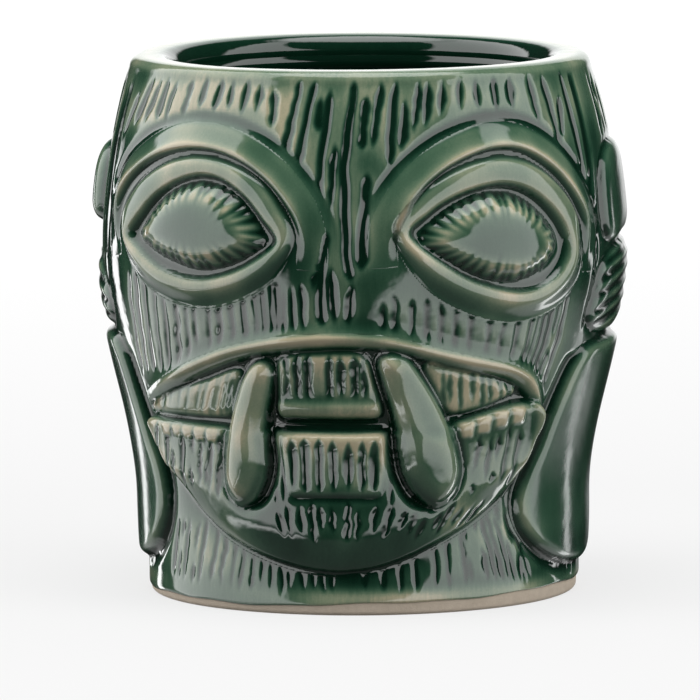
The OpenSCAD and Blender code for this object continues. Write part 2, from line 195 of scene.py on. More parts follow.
def dome(s, reach, power=2.0):
    """Rise from 0 at an outline to 1 at reach inside it, with a round shoulder."""
    return (1 - (1 - np.clip(s / reach, 0, 1)) ** power) ** (1 / power)


# ---------------------------------------------------------------- outlines

LEFT_EYE_MIDDLE, RIGHT_EYE_MIDDLE = (-26.5, 71.6), (28.5, 69.4)
LEFT_EYEBALL = [
    (-12.5, 69.5), (-14.5, 74), (-18.5, 78), (-23.5, 80), (-29, 79.4), (-34, 76.8),
    (-38, 73), (-40.5, 69), (-37, 66.8), (-31.5, 65), (-25, 63.8), (-19, 65), (-14.8, 67.2)]
LEFT_LID_INNER = [
    (-9.8, 69.6), (-12.5, 74), (-16, 78), (-20.5, 80.8), (-25, 81.5), (-30, 80.3),
    (-35.3, 77.5), (-39.8, 73.5), (-43.5, 69), (-39.5, 65.8), (-33.5, 62.9), (-26, 61.6),
    (-19.5, 62.8), (-14, 65.6)]
LEFT_LID_OUTER = [
    (-7.6, 70), (-9.6, 75.5), (-13.2, 80.2), (-18.8, 83.1), (-25, 84.2), (-31, 83.5),
    (-37.2, 81), (-42.7, 76.8), (-46.6, 70), (-42, 62.9), (-35.5, 59), (-27, 57.2),
    (-18.5, 58.8), (-11.5, 63)]
LEFT_BROW = [
    (-5, 64.5), (-4.8, 70), (-6.4, 75.3), (-10.2, 80.5), (-15, 84.2), (-20, 86.3),
    (-25.5, 87.1), (-31, 86.7), (-36.5, 85.1), (-42, 82.2), (-46.6, 78.6), (-49.6, 74),
    (-50.4, 69), (-49.4, 64.5)]
RIGHT_EYEBALL = [
    (14, 70), (17, 73.6), (21.5, 76.4), (26.5, 78), (31.5, 77.4), (36, 75),
    (39.5, 71.5), (41.3, 68), (39.8, 64.8), (36, 62.4), (31, 61.5), (25.5, 62.3),
    (20.5, 64.5), (16, 67.4)]
RIGHT_LID_INNER = [
    (12, 70.6), (15.5, 75), (20, 77.8), (25, 79.4), (30, 79.8), (35, 78.4),
    (39.5, 75.2), (43, 71), (44.4, 66.5), (42.5, 62.7), (38.5, 60), (33, 59),
    (26.5, 60.4), (20, 63.6)]
RIGHT_LID_OUTER = [
    (10, 71), (13.3, 77.2), (18.4, 81), (24, 83.2), (30, 84), (35.6, 82.8),
    (41, 79.4), (45.6, 74.2), (48, 67.5), (47, 61), (41.5, 56.4), (33, 54.6),
    (24, 56.4), (15.5, 61.6)]
RIGHT_BROW = [
    (8.6, 65), (8.5, 70.5), (10.5, 75.6), (14.2, 80.4), (19.3, 84.2), (25, 86.5),
    (30.5, 87.2), (36, 86), (41.6, 82.6), (46.4, 77.8), (49.7, 72.6), (51, 67), (50.6, 61.5)]
LIP = [
    (-46.5, 38.2), (-40, 41), (-35, 43), (-30, 45.2), (-25, 47.2), (-20, 49), (-15, 50.3),
    (-9, 51.4), (-3, 52), (3, 52), (8, 51.5), (13, 50.3), (18, 48.8), (23, 47.4),
    (28, 46.2), (33, 44.8), (37, 42.8), (39.6, 40), (41, 36.5), (41.2, 32), (40.2, 27.5), (38, 23.5)]
MOUTH = [
    (-46.8, 36.8), (-42, 38.4), (-35, 41), (-28, 44), (-20, 47), (-12, 49), (-3, 50.2),
    (5, 50.2), (12, 48.8), (20, 46.4), (28, 44.4), (33.5, 42.6), (37.5, 40), (38.4, 37.6),
    (35, 38.2), (30, 37.6), (24, 36.2), (17, 34.6), (5, 34.2), (-8, 34.2), (-22, 34.4),
    (-36, 34.8), (-43, 35)]
LEFT_UPPER_TEETH = [
    (-45, 36.4), (-40, 38.4), (-33, 40.8), (-26, 42.8), (-20.6, 44.8), (-19.2, 44.2),
    (-20.6, 40.6), (-22, 37.4), (-26, 36.6), (-33, 36.2), (-40, 35.9)]
RIGHT_UPPER_TEETH = [
    (16, 46.6), (20, 45.6), (25.5, 44.2), (31, 42.4), (34.4, 40.7), (31.5, 39.6),
    (27.5, 38.3), (23.5, 37.7), (20.8, 38.2), (18.5, 41.2)]
CENTRE_UPPER_TEETH = [
    (-10.8, 47.4), (-8, 48.4), (-2.5, 48.8), (3, 48.8), (5, 47.4), (6.2, 43.5), (7.6, 39.5),
    (7.2, 37.2), (3, 36.9), (-2.5, 36.9), (-8, 36.9), (-11.6, 37.3), (-11.6, 42)]
JAW = [
    (-45.5, 34.2), (-45, 30.5), (-42.5, 26.4), (-39, 22.6), (-34.5, 18.6), (-28.5, 15),
    (-22, 12.2), (-14.5, 9.9), (-7, 8.4), (0, 8), (7, 8.8), (14, 10.8), (21, 13.6),
    (28, 16.6), (33.5, 19.6), (37.5, 23), (40, 27.2), (41, 32), (40.8, 36.4), (37.4, 38.3),
    (31, 37.8), (25, 36.4), (20, 34.8), (12, 34.3), (3, 34.2), (-7, 34.2), (-17, 34.3),
    (-27, 34.5), (-37, 34.7)]
CENTRE_LOWER_TEETH = [
    (-10.8, 33), (-9.5, 34), (-4, 34.1), (2, 34.1), (7.4, 34), (8.6, 32.6), (8.4, 28),
    (7.8, 23.6), (6.6, 22.6), (2, 22.5), (-4, 22.5), (-9, 22.6), (-10.2, 23.8), (-10.8, 28)]
LEFT_TUSK = [
    (-13.6, 47.6), (-11.9, 45.6), (-12.6, 41.5), (-13.7, 37.5), (-14.3, 33), (-14.2, 28.5),
    (-15.3, 24.3), (-17.6, 21), (-20.6, 20), (-23, 21.7), (-24.2, 25), (-23.8, 29),
    (-22.6, 34), (-20.8, 39), (-18.4, 44), (-16, 47)]
RIGHT_TUSK = [
    (8.8, 49.2), (6.9, 47.6), (7.8, 43.5), (9.2, 39), (10.3, 34.5), (10.9, 30), (12, 25.8),
    (14.6, 22), (18, 20), (20.8, 20.7), (23, 23.2), (23.8, 26.8), (22.9, 31), (20.9, 35.6),
    (18.3, 40.2), (15.4, 44.6), (12.4, 48.4)]
LEFT_CREASE = [(-14.4, 48), (-15.5, 41), (-17.5, 36), (-19, 32), (-20, 28)]
RIGHT_CREASE = [(9.4, 50), (10.5, 44), (13, 37), (14.6, 34.4), (16.4, 29)]
LEFT_EAR_TOP = [
    (-66, 75.5), (-67, 80), (-70.5, 83), (-76, 83.8), (-82, 82), (-86, 78), (-86.5, 73),
    (-83, 69.4), (-77, 68.2), (-71, 68.4), (-67, 70.6)]
RIGHT_EAR_TOP = [
    (57, 72.5), (58, 78.5), (61.8, 82.6), (68, 84.2), (75.5, 83.6), (82, 80), (84.6, 74.5),
    (82.4, 69.4), (76, 67.2), (68, 67), (61.5, 66), (58.2, 68)]
LEFT_EAR_MIDDLE = [
    (-57.5, 53.4), (-60.5, 57.6), (-66, 60.8), (-73, 64.4), (-80, 66.2), (-85, 63.6),
    (-86.4, 58.4), (-83.6, 53.6), (-77, 50.9), (-69, 50.2), (-61, 50.6)]
RIGHT_EAR_MIDDLE = [
    (53, 52.6), (54.4, 58.4), (57.4, 62.8), (62.5, 64.6), (69, 65.3), (76, 65.4),
    (82, 64.2), (84.8, 59.6), (82.6, 54), (75.5, 50.6), (66, 49.2), (57.5, 49.6)]
LEFT_EAR_LOBE = [
    (-56, 48.4), (-52.8, 45.4), (-51.6, 40.6), (-50.3, 35.5), (-48.4, 30), (-46, 25.4),
    (-44.9, 20.2), (-46.2, 15), (-50, 10.8), (-56, 8), (-64, 6.6), (-73, 7.2), (-80.5, 11),
    (-85, 18.5), (-86.4, 27), (-86, 36), (-83.6, 43.6), (-78, 48.2), (-70, 49.3), (-62, 49.2)]
RIGHT_EAR_LOBE = [
    (53.4, 47.2), (49.6, 44), (47.4, 39.4), (45.6, 34.4), (43.9, 29.6), (41, 24.6),
    (38.9, 20), (40, 15.3), (44.2, 11.2), (51, 8), (59.5, 6.2), (68.5, 6.4), (76.5, 9.6),
    (81.6, 16), (84, 25), (84.2, 35), (82, 43), (76.6, 47.4), (69, 48.4), (61, 48)]
LEFT_LOWER_TEETH = [(-38, 33), (-35, 33.1), (-32, 33.1), (-29, 33), (-26, 32.9)]
RIGHT_LOWER_TEETH = [(24, 34.2), (27.4, 35), (31, 35.8), (34.8, 36.2)]


def tooth_distance(spots, half_u, half_z):
    """Signed distance to the nearest of a row of small rounded squares, positive inside."""
    best = np.full(U.shape, -1e3)
    for su, sz in spots:
        qu, qz = np.abs(U - su) - half_u + 0.5, np.abs(Z - sz) - half_z + 0.5
        out = np.hypot(np.maximum(qu, 0), np.maximum(qz, 0)) + np.minimum(np.maximum(qu, qz), 0) - 0.5
        best = np.maximum(best, -out)
    return best


# ---------------------------------------------------------------- the carved grain

def stroke(groove, points, width, depth, ragged=0.35, run="z"):
    """Cuts one groove into the groove field, along listed or random points, running up or round."""
    p = np.array(points, float)
    main = 1 if run == "z" else 0
    p = p[np.argsort(p[:, main])]
    lo, hi = p[0, main], p[-1, main]
    axis = z_axis if run == "z" else u_axis
    k0, k1 = np.searchsorted(axis, [lo, hi])
    if k1 - k0 < 3:
        return
    s = axis[k0:k1]
    centre = np.interp(s, p[:, main], p[:, 1 - main])
    t = (s - lo) / (hi - lo)
    waves = sum(rng.normal(0, ragged / 3) * np.sin(f * np.pi * t + rng.uniform(0, 6.3))
                for f in (2, 5, 9))
    centre = centre + waves * 0.6
    taper_length = min(rng.uniform(1.6, 4.0), 0.45 * (hi - lo))
    taper = np.minimum(1, np.minimum(s - lo, hi - s) / taper_length + 0.03)
    swell = 1 + 0.16 * np.sin(np.pi * (t * rng.uniform(1, 3) + rng.uniform(0, 2)))
    half = 0.6 * width * swell * taper ** 0.8
    deep = depth * swell * ease(taper)
    other = u_axis if run == "z" else z_axis
    c0, c1 = np.searchsorted(other, [centre.min() - width, centre.max() + width])
    x = other[c0:c1]
    if run == "z":
        q = (x[None, :] - centre[:, None]) / half[:, None]
        cut = deep[:, None] * np.clip(1 - q * q, 0, 1) ** 1.8
        view = groove[k0:k1, c0:c1]
    else:
        q = (x[:, None] - centre[None, :]) / half[None, :]
        cut = deep[None, :] * np.clip(1 - q * q, 0, 1) ** 1.8
        view = groove[c0:c1, k0:k1]
    np.maximum(view, cut, out=view)


def between(guides, t, z):
    """Point at parameter t between a row of guide lines, each given as [(u, z), ...] from low to high."""
    us = [np.interp(z, [p[1] for p in g], [p[0] for p in g]) for g in guides]
    s = np.clip(t, 0, 1) * (len(guides) - 1)
    i = int(min(s, len(guides) - 2))
    return us[i] + (us[i + 1] - us[i]) * (s - i)


def comb(groove, guides, pitch, z_top, z_low, width, depth, ragged=0.35, broken=0.25):
    """Fills the space between guide lines with grooves about pitch apart, some of them broken."""
    mid = 0.5 * (z_top + z_low)
    span = abs(between(guides, 1, mid) - between(guides, 0, mid))
    n = max(2, int(round(span / pitch)))
    for k in range(n + 1):
        t = (k + rng.uniform(-0.22, 0.22)) / n
        if not 0 <= t <= 1:
            continue
        hi = z_top + rng.uniform(-1.2, 0.8)
        lo = z_low + rng.uniform(-0.8, 1.6)
        cuts = [(lo, hi)]
        if rng.random() < broken and hi - lo > 9:
            gap = rng.uniform(lo + 3, hi - 3)
            cuts = [(lo, gap - rng.uniform(0.2, 0.8)), (gap + rng.uniform(0.2, 0.8), hi)]
        for a, b in cuts:
            shift = rng.uniform(-0.3, 0.3)
            pts = [(between(guides, t, z) + shift, z) for z in np.linspace(a, b, 8)]
            stroke(groove, pts, rng.uniform(*width), rng.uniform(*depth), ragged)


# Grooves of the forehead and of the strip between the brows, placed one by one
FOREHEAD = [
    [(-52.8, 85), (-50.6, 90), (-48.6, 95)], [(-48, 88), (-46, 93), (-44, 97.5)],
    [(-44.6, 88.5), (-42.6, 93), (-41.2, 98)], [(-40.2, 89.5), (-39.4, 94), (-38.8, 98)],
    [(-37.6, 89), (-37, 93), (-35.8, 98)], [(-33.2, 91), (-32, 95), (-31.4, 98)],
    [(-28.8, 92.4), (-28.2, 96), (-27.6, 99)], [(-25.2, 92), (-24.6, 95), (-23.8, 98.6)],
    [(-21.8, 92.4), (-21.6, 96), (-21.4, 98.8)], [(-18.8, 91.6), (-18.4, 95), (-18, 99)],
    [(-15.6, 92), (-15.4, 95), (-15.2, 98.4)], [(-12.2, 90), (-12.2, 93), (-12.6, 97)],
    [(-9.4, 85), (-8.8, 90), (-7.9, 95), (-7.2, 99)], [(-6.9, 83), (-6.2, 88), (-5.5, 93), (-4.4, 99)],
    [(-3.9, 60), (-3.7, 68), (-3.2, 76), (-2.8, 84), (-2, 90), (-1.4, 97.6)],
    [(2.4, 62), (1.7, 68), (1.5, 76), (1.3, 83), (1.9, 89), (2.7, 94), (3.2, 99)],
    [(4.2, 64), (4.4, 70), (4.8, 76), (5.4, 82.5)], [(6.4, 86), (7, 91), (7.8, 95), (8.5, 99)],
    [(9.3, 82.5), (9.7, 88), (10.3, 94), (11.3, 99)], [(11.4, 85.5), (12.1, 90), (12.8, 95.5)],
    [(13.8, 88.5), (14.9, 94), (15.8, 99)], [(16, 89.6), (16.7, 93), (17.5, 98.6)],
    [(19.2, 91.4), (19.8, 95), (20.4, 99)], [(23.1, 92.4), (23.5, 95.5), (23.9, 99)],
    [(27.1, 92.4), (27, 95.5), (27.2, 98.8)], [(30.9, 92), (31, 95.5), (31.3, 98.8)],
    [(34.6, 92), (34.6, 95), (35.2, 98.8)], [(40.9, 88.8), (40.2, 93), (39.9, 98.8)],
    [(46, 83.5), (44.6, 90), (43.7, 98.4)], [(46.3, 86), (47, 90), (47.9, 94.5)],
    [(51.6, 76), (50.9, 85), (50.4, 92), (50.2, 98.8)], [(54.4, 80), (54.2, 89), (53.9, 98.6)],
    [(-2.6, 53.6), (-2.7, 59), (-2.3, 66), (-1.5, 72)], [(-0.4, 54), (-0.7, 60), (-1, 66)],
    [(1.9, 53.6), (2.2, 58), (2.7, 63)], [(-1, 75), (-0.7, 82), (-0.2, 88)], [(-3.4, 89), (-3.2, 96)],
    [(4.4, 86), (4.9, 91), (5.4, 96)]]

# Guide lines of the grain, side by side: the grooves between them follow them
LEFT_CHEEK = [[(-51, 42), (-49, 53), (-48, 64)], [(-31.5, 44), (-30.3, 52), (-29.5, 60)],
              [(-14, 48), (-14, 60)], [(-5, 48), (-5, 66)]]
RIGHT_CHEEK = [[(5, 48), (5, 66)], [(20, 46), (20, 62)], [(34.6, 43), (36.6, 50), (37.5, 58)],
               [(43, 40), (45, 50), (46, 60)]]
LEFT_TEMPLE = [[(-66, 50), (-62, 66), (-60, 84), (-58, 98)],
               [(-55, 50), (-53, 64), (-54, 82), (-52, 98)]]
RIGHT_TEMPLE = [[(48, 47), (52, 62), (52, 78), (52.5, 98)], [(54, 50), (56, 64), (56, 80), (57, 98)]]
LEFT_NECK = [[(-46, 2), (-42, 17)], [(-20, 2), (-19, 17)], [(0, 2), (-1, 17)]]
RIGHT_NECK = [[(1, 2), (0, 17)], [(22.5, 2), (22, 17)], [(38, 2), (33, 17)], [(47, 2), (38, 19)]]
LEFT_JAW = [[(-46, 20), (-41, 34)], [(-33.6, 20), (-30, 34)], [(-26, 20), (-24, 33)]]
RIGHT_JAW = [[(23, 20), (25.5, 33)], [(31, 21), (31.4, 34)], [(37, 21), (38, 36)]]
CHIN = [[(-11, 10), (-13, 21)], [(0, 9), (0, 22)], [(12, 10), (16, 20)], [(24, 14), (31, 22)]]
SIDE_TEETH_LEFT = [[(-44, 35), (-42, 39)], [(-30, 36), (-26, 44)], [(-22, 36), (-18, 46)]]
SIDE_TEETH_RIGHT = [[(17, 37), (16, 47)], [(26, 37), (25, 46)], [(34, 38), (32, 44)]]

# Grain of the wall's front: guide lines, pitch, top and bottom, and the ranges of width and depth
WALL_GRAIN = [
    (LEFT_CHEEK, 2.2, 63, 42, (1.3, 1.7), (0.18, 0.27)),
    (RIGHT_CHEEK, 2.4, 60, 41, (1.3, 1.7), (0.17, 0.26)),
    (LEFT_TEMPLE, 2.9, 97, 52, (1.5, 2.0), (0.24, 0.34)),
    (RIGHT_TEMPLE, 2.9, 97, 50, (1.5, 2.0), (0.24, 0.34)),
    (LEFT_NECK, 2.35, 17, 3.4, (1.3, 1.7), (0.17, 0.25)),
    (RIGHT_NECK, 2.5, 19, 3.4, (1.3, 1.8), (0.18, 0.28)),
]
JAW_GRAIN = [
    (LEFT_JAW, 2.3, 34.5, 21, (1.4, 1.8), (0.24, 0.34)),
    (RIGHT_JAW, 2.2, 35, 22, (1.3, 1.7), (0.17, 0.25)),
    (CHIN, 2.4, 21.4, 14, (1.3, 1.9), (0.2, 0.32)),
]


def upright(a, b, low, high):
    """Two upright guide lines, at a and at b."""
    return [[(a, low), (a, high)], [(b, low), (b, high)]]


def wall_grain():
    """Grain of the whole wall. The smooth forms cover parts of it later."""
    groove = np.zeros(U.shape)
    for points in FOREHEAD:
        stroke(groove, points, rng.uniform(1.7, 2.3), rng.uniform(0.32, 0.44), 0.22)
    for row in WALL_GRAIN:
        comb(groove, *row)
    for a, b in ((-139.8, -92), (91, 139.8)):
        comb(groove, upright(a, b, 3, 99), 3.1, 97.5, 4.2, (1.5, 2.0), (0.22, 0.32), 0.8, 0.8)
    for a, b in ((-92, -60), (60, 91)):
        comb(groove, upright(a, b, 84, 99), 3.0, 97.5, 84, (1.5, 2.0), (0.24, 0.34))
        comb(groove, upright(a, b, 3, 9), 2.8, 9, 3.6, (1.3, 1.7), (0.17, 0.25))
    groove *= fade(Z, 98.3, 99.6) * ease((Z - 2.9) / 0.9)
    return groove


# ---------------------------------------------------------------- the height field

# How far the forms rise from the wall, in mm
LID_RISE, RING_DEPTH, EYEBALL_RISE, EYEBALL_CURVE = 1.5, 0.6, 2.1, 1.3
BROW_RISE, LIP_RISE, JAW_RISE = 1.8, 1.9, 2.6
SIDE_TEETH_RISE, CENTRE_TEETH_RISE, LOWER_BLOCK_RISE = 1.5, 1.7, 0.6
EAR_TOP_RISE = {"left": 2.4, "right": 1.3}
RIB_DEPTH = {"left": 0.34, "right": 0.26}

# Pieces end this far outside their steep edges, where the surface round them is nearly level
SEAM_OUT = 0.35
FORM_BLUR, GROOVE_BLUR = 0.33, 0.2
# Offsets from a path are known only this far from it
NEAR_PATH = 20


def eye(eyeball, inner, outer):
    """Eyelid, dark ring and eyeball. Gives the height, the eyeball's and the eyelid's signed distances."""
    s_ball, s_in, s_out = (inside_distance(p) for p in (eyeball, inner, outer))
    s_out = s_out + 0.6
    width = np.maximum(s_out - s_in, 1.0)
    t = np.clip(-s_in / width, 0, 1)
    upper = (0.84 + 0.16 * np.sin(np.pi * np.clip(t / 0.8, 0, 1))) * ease(s_out / 1.1)
    crest = 0.2
    slope = 0.5 + 0.5 * np.cos(np.pi * np.clip((t - crest) / (1 - crest), 0, 1))
    lower = np.where(t < crest, 0.84 + 0.16 * ease(t / crest), slope)
    corner_z = 0.5 * (eyeball[0][1] + np.array(eyeball)[:, 1].mean())
    up = ease((Z - corner_z) / 7 + 0.5)
    lid = LID_RISE * (upper * up + lower * (1 - up)) * (s_out > 0) * (s_in <= 0)
    drop = ease(1 - s_in / 1.25)
    ring = LID_RISE * 0.84 * drop - RING_DEPTH * (1 - drop)
    ball = -RING_DEPTH + EYEBALL_RISE * dome(s_ball, 7.2, 2.0)
    middle = 0.5 * (np.array(eyeball)[:, 0].min() + np.array(eyeball)[:, 0].max())
    ball += EYEBALL_CURVE * (1 - np.clip((U - middle) / 14, -1, 1) ** 2) * ease(s_ball / 3)
    height = np.where(s_in > 0, np.maximum(ring, ball), lid)
    return height, s_ball, np.minimum(-s_in, s_out)


def radial_strokes(groove, outline, s_ball, centre, n, reach):
    """Short grooves round an eyeball's edge that point at its middle."""
    path = spline(outline, True, 8)
    seg = np.hypot(*(np.roll(path, -1, 0) - path).T)
    pos = np.r_[0, np.cumsum(seg)]
    field = np.zeros(U.shape)
    w = window(path, 1.0)
    x, y = U[w], Z[w]
    for k in range(n):
        at = (k + rng.uniform(-0.2, 0.2)) / n * pos[-1] % pos[-1]
        i = min(np.searchsorted(pos, at) - 1, len(path) - 1)
        a = path[max(i, 0)]
        aim = np.array(centre) + (a - centre) * np.array([0.45, 0.1])
        d = (aim - a) / np.hypot(*(aim - a))
        length = reach * rng.uniform(0.75, 1.2)
        t = (x - a[0]) * d[0] + (y - a[1]) * d[1]
        off = np.abs((x - a[0]) * d[1] - (y - a[1]) * d[0])
        half = 0.8 * np.clip(1.3 - t / length, 0, 1)
        cut = 0.24 * np.clip(1 - off / np.maximum(half, 0.05), 0, 1) ** 1.2
        cut = cut * (t > -0.6) * ease((length - t) / length) ** 0.8
        field[w] = np.maximum(field[w], cut)
    np.maximum(groove, field * (s_ball > 0), out=groove)


def ridge_edge(off, along, points, low, high):
    """Signed distance to the outline of a ridge that runs from low to high across its path."""
    path = spline(points, False)
    length = np.hypot(*np.diff(path, axis=0).T).sum()
    tips = np.minimum(along, 1 - along) * length
    past_start, past_end = along < 1e-6, along > 1 - 1e-6
    for end, before, here in ((path[0], path[1], past_start), (path[-1], path[-2], past_end)):
        out = (end - before) / np.hypot(*(end - before))
        beyond = (U - end[0]) * out[0] + (Z - end[1]) * out[1]
        tips = np.where(here, -np.maximum(beyond, 0), tips)
    edge = np.minimum(np.minimum(off + low, high - off), tips)
    return np.where(np.abs(off) < NEAR_PATH, edge, -1e3)


def brow(points, flip):
    """Brow ridge with its scooped outer edge. Gives the height, signed distance and grain cover."""
    off, along = path_offset(points)
    off = off * flip
    ends = ease(np.minimum(along, 1 - along) / 0.2)
    inner = np.cos(0.5 * np.pi * np.clip((-0.7 - off) / 1.0, 0, 1)) ** 1.2
    outer = (1 - np.clip((off + 0.7) / 5.0, 0, 1)) ** 1.4
    ridge = BROW_RISE * ends * np.where(off < -0.7, inner, outer)
    scoop = -0.5 * ease((off - 2.6) / 1.8) * fade(off, 4.8, 5.7) * ends
    edge = ridge_edge(off, along, points, 2.0, 3.2)
    near = np.abs(off) < NEAR_PATH
    cover = near & (off > -3) & (off < 1.5 + 3.6 * ends)
    return np.where(near, ridge + scoop, 0), edge, cover


class Relief:
    """The carving while it is built, in mm over the whole grid, and each form's signed distance."""

    def __init__(self):
        self.height = 0.1 * cloud(38) + 0.05 * cloud(16)
        self.groove = wall_grain()
        self.ears = np.zeros(U.shape)
        self.signed = {}

    def cut(self, grooves):
        """Adds grooves to those that are there."""
        np.maximum(self.groove, grooves, out=self.groove)


def add_eyes(relief):
    """The mouth's hollow, the eyes and the brows, which are free of the wall's grain."""
    s_mouth = inside_distance(MOUTH)
    relief.height -= 0.7 * ease(s_mouth / 1.1 + 0.3)
    smooth = s_mouth > -0.2
    for side, ball, inner, outer, path, flip in (
            ("left", LEFT_EYEBALL, LEFT_LID_INNER, LEFT_LID_OUTER, LEFT_BROW, -1),
            ("right", RIGHT_EYEBALL, RIGHT_LID_INNER, RIGHT_LID_OUTER, RIGHT_BROW, 1)):
        lids, s_ball, s_lid = eye(ball, inner, outer)
        ridge, s_brow, covered = brow(path, flip)
        relief.height += lids
        relief.height += ridge
        relief.signed[side + "_eyeball"] = s_ball
        relief.signed[side + "_eyelid"] = s_lid
        relief.signed[side + "_brow"] = s_brow
        smooth |= covered | (inside_distance(outer) > -0.9)
    relief.groove[smooth] = 0
    radial_strokes(relief.groove, LEFT_EYEBALL, relief.signed["left_eyeball"], LEFT_EYE_MIDDLE, 31, 5.4)
    radial_strokes(relief.groove, RIGHT_EYEBALL, relief.signed["right_eyeball"], RIGHT_EYE_MIDDLE, 32, 5.2)


def add_lip(relief):
    """Upper lip: a soft top that runs into the cheeks, and a steep underside. Gives its signed distance."""
    off, along = path_offset(LIP)
    ends = ease(np.minimum(along, 1 - along) / 0.14)
    above = (1 - np.clip(off / 3.4, 0, 1)) ** 1.8
    below = np.interp(-off, [0, 1.3, 2.4], [1, 0.6, 0])
    near = np.abs(off) < NEAR_PATH
    relief.height += np.where(near, LIP_RISE * (0.15 + 0.85 * ends) * np.where(off > 0, above, below), 0)
    relief.groove[near & (off > -3) & (off < 1.2)] = 0
    relief.groove *= np.where(near & (off >= 1.2), ease((off - 1.2) / 2.0), 1)
    return ridge_edge(off, along, LIP, 2.5, 0.9)


def add_upper_teeth(relief):
    """Two side bands of teeth and the block between the tusks."""
    for name, points in (("left_upper_teeth", LEFT_UPPER_TEETH), ("right_upper_teeth", RIGHT_UPPER_TEETH)):
        relief.signed[name] = inside_distance(points) + 0.7
        relief.height += SIDE_TEETH_RISE * dome(relief.signed[name], 1.9, 2.2)
    grain = np.zeros(U.shape)
    comb(grain, SIDE_TEETH_LEFT, 2.0, 46, 35.6, (1.2, 1.6), (0.07, 0.12), 0.2, 0)
    comb(grain, SIDE_TEETH_RIGHT, 2.1, 47, 37, (1.2, 1.6), (0.15, 0.23), 0.2, 0)
    on_teeth = np.maximum(relief.signed["left_upper_teeth"], relief.signed["right_upper_teeth"])
    relief.cut(grain * ease(on_teeth / 0.6))

    s_block = inside_distance(CENTRE_UPPER_TEETH) + 0.4
    relief.signed["centre_upper_teeth"] = s_block
    ledge = 1 + 0.5 * ease((40.6 - Z) / 1.6)
    relief.height += CENTRE_TEETH_RISE * dome(s_block, 1.9) * ledge
    grain = np.zeros(U.shape)
    for u0 in (-9.6, -7.3, -5.4, -1.6, 0.4, 2.9, 4.6):
        stroke(grain, [(u0 * 1.05, 39), (u0, 49.4)], 1.9, 0.42, 0.15)
    relief.cut(grain * ease(s_block / 0.5) * ease((Z - 39.8) / 3.4))


def add_jaw(relief):
    """The jaw, its round chin and its grain, and the lower teeth on it."""
    s_jaw = inside_distance(JAW, 9.0) + 0.5 * ease((Z - 31) / 3)
    relief.signed["jaw"] = s_jaw
    lower = ease((31.5 - Z) / 5) * ease((30.5 - np.abs(U) + (31 - Z) * 1.4) / 10 + 0.45)
    chin = ease((27 - Z) / 6) * ease((45 - np.abs(U)) / 14)
    relief.height += (JAW_RISE + 0.4 * chin) * dome(s_jaw, 1.9 + 3.4 * lower + 5.2 * chin, 2.1)
    relief.height -= 0.9 * chin * fade(np.abs(s_jaw - 0.5), 0, 8)
    relief.groove[s_jaw > -0.9] = 0
    grain = np.zeros(U.shape)
    for row in JAW_GRAIN:
        comb(grain, *row)
    for u0 in (-12.6, -10.9, 9.6):
        stroke(grain, [(u0, 20.5), (u0 * 1.02, 34)], 1.2, 0.24, 0.15)
    grain *= ease((s_jaw + 0.2) / 1.5)

    s_block = inside_distance(CENTRE_LOWER_TEETH)
    relief.signed["centre_lower_teeth"] = s_block
    relief.height += LOWER_BLOCK_RISE * dome(s_block, 3.2 - 1.9 * ease((Z - 30) / 3))
    # The cut across the jaw under the block
    relief.height -= 0.35 * fade(np.abs(Z - 21.9), 0.2, 1.0) * fade(np.abs(U + 1), 7.5, 9.5)
    grain *= 1 - ease((s_block + 0.4) / 0.4)
    block_grain = np.zeros(U.shape)
    for u0 in (-9, -6.6, -3.9, -1.3, 1.6, 4.2, 6.4):
        stroke(block_grain, [(u0, 22.8), (u0 * 0.98, 28), (u0, 34)], 1.8, 0.36, 0.2)
    relief.cut(block_grain * ease(s_block / 0.5))
    for name, spots, half_u, half_z, rise in (
            ("left_lower_teeth", LEFT_LOWER_TEETH, 1.15, 1.1, 0.18),
            ("right_lower_teeth", RIGHT_LOWER_TEETH, 1.45, 1.55, 0.5)):
        s_teeth = tooth_distance(spots, half_u, half_z)
        relief.signed[name] = s_teeth
        relief.height += rise * dome(s_teeth, 0.9)
        grain *= 1 - ease((s_teeth + 0.4) / 0.5)
    relief.cut(grain)


def add_tusk(relief, name, points, crease, inner_side):
    """A tusk with a roof-like front, and the furrow cut beside it, widest towards the mouth's middle."""
    s_tusk = inside_distance(points)
    relief.signed[name] = s_tusk
    path = spline(points, True)
    middle = [(z, path[np.abs(path[:, 1] - z) < 1.5, 0].mean()) for z in np.arange(20.5, 47.5, 1.5)]
    middle_u = np.interp(z_axis, *zip(*middle))[:, None]
    towards = ease((U - middle_u) * inner_side / 4 + 0.5)
    width = 1.1 + 1.9 * towards
    depth = (0.9 + 1.9 * towards) * ease((Z - 18) / 4)
    furrow = depth * ease(1 + s_tusk / width) * (s_tusk <= 0)
    relief.height -= furrow * ease((relief.signed["jaw"] + 0.5) / 1.5)
    relief.groove *= np.where(s_tusk > -width, ease((-s_tusk - 0.6 * width) / (0.4 * width)), 1)
    top = 3.2 + 2.2 * ease((46 - Z) / 18)
    tusk = -0.6 + (top + 0.6) * dome(s_tusk, 4.9)
    across = np.abs(path_offset(crease)[0])
    roof = top - 0.1 - 0.24 * across + 2.5 * ease((across - 6) / 4) + 3 * ease((35 - Z) / 7)
    tusk = -smooth_max(-tusk, -roof, 0.5)
    relief.height = np.where(s_tusk > 0, smooth_max(relief.height, tusk, 0.5), relief.height)


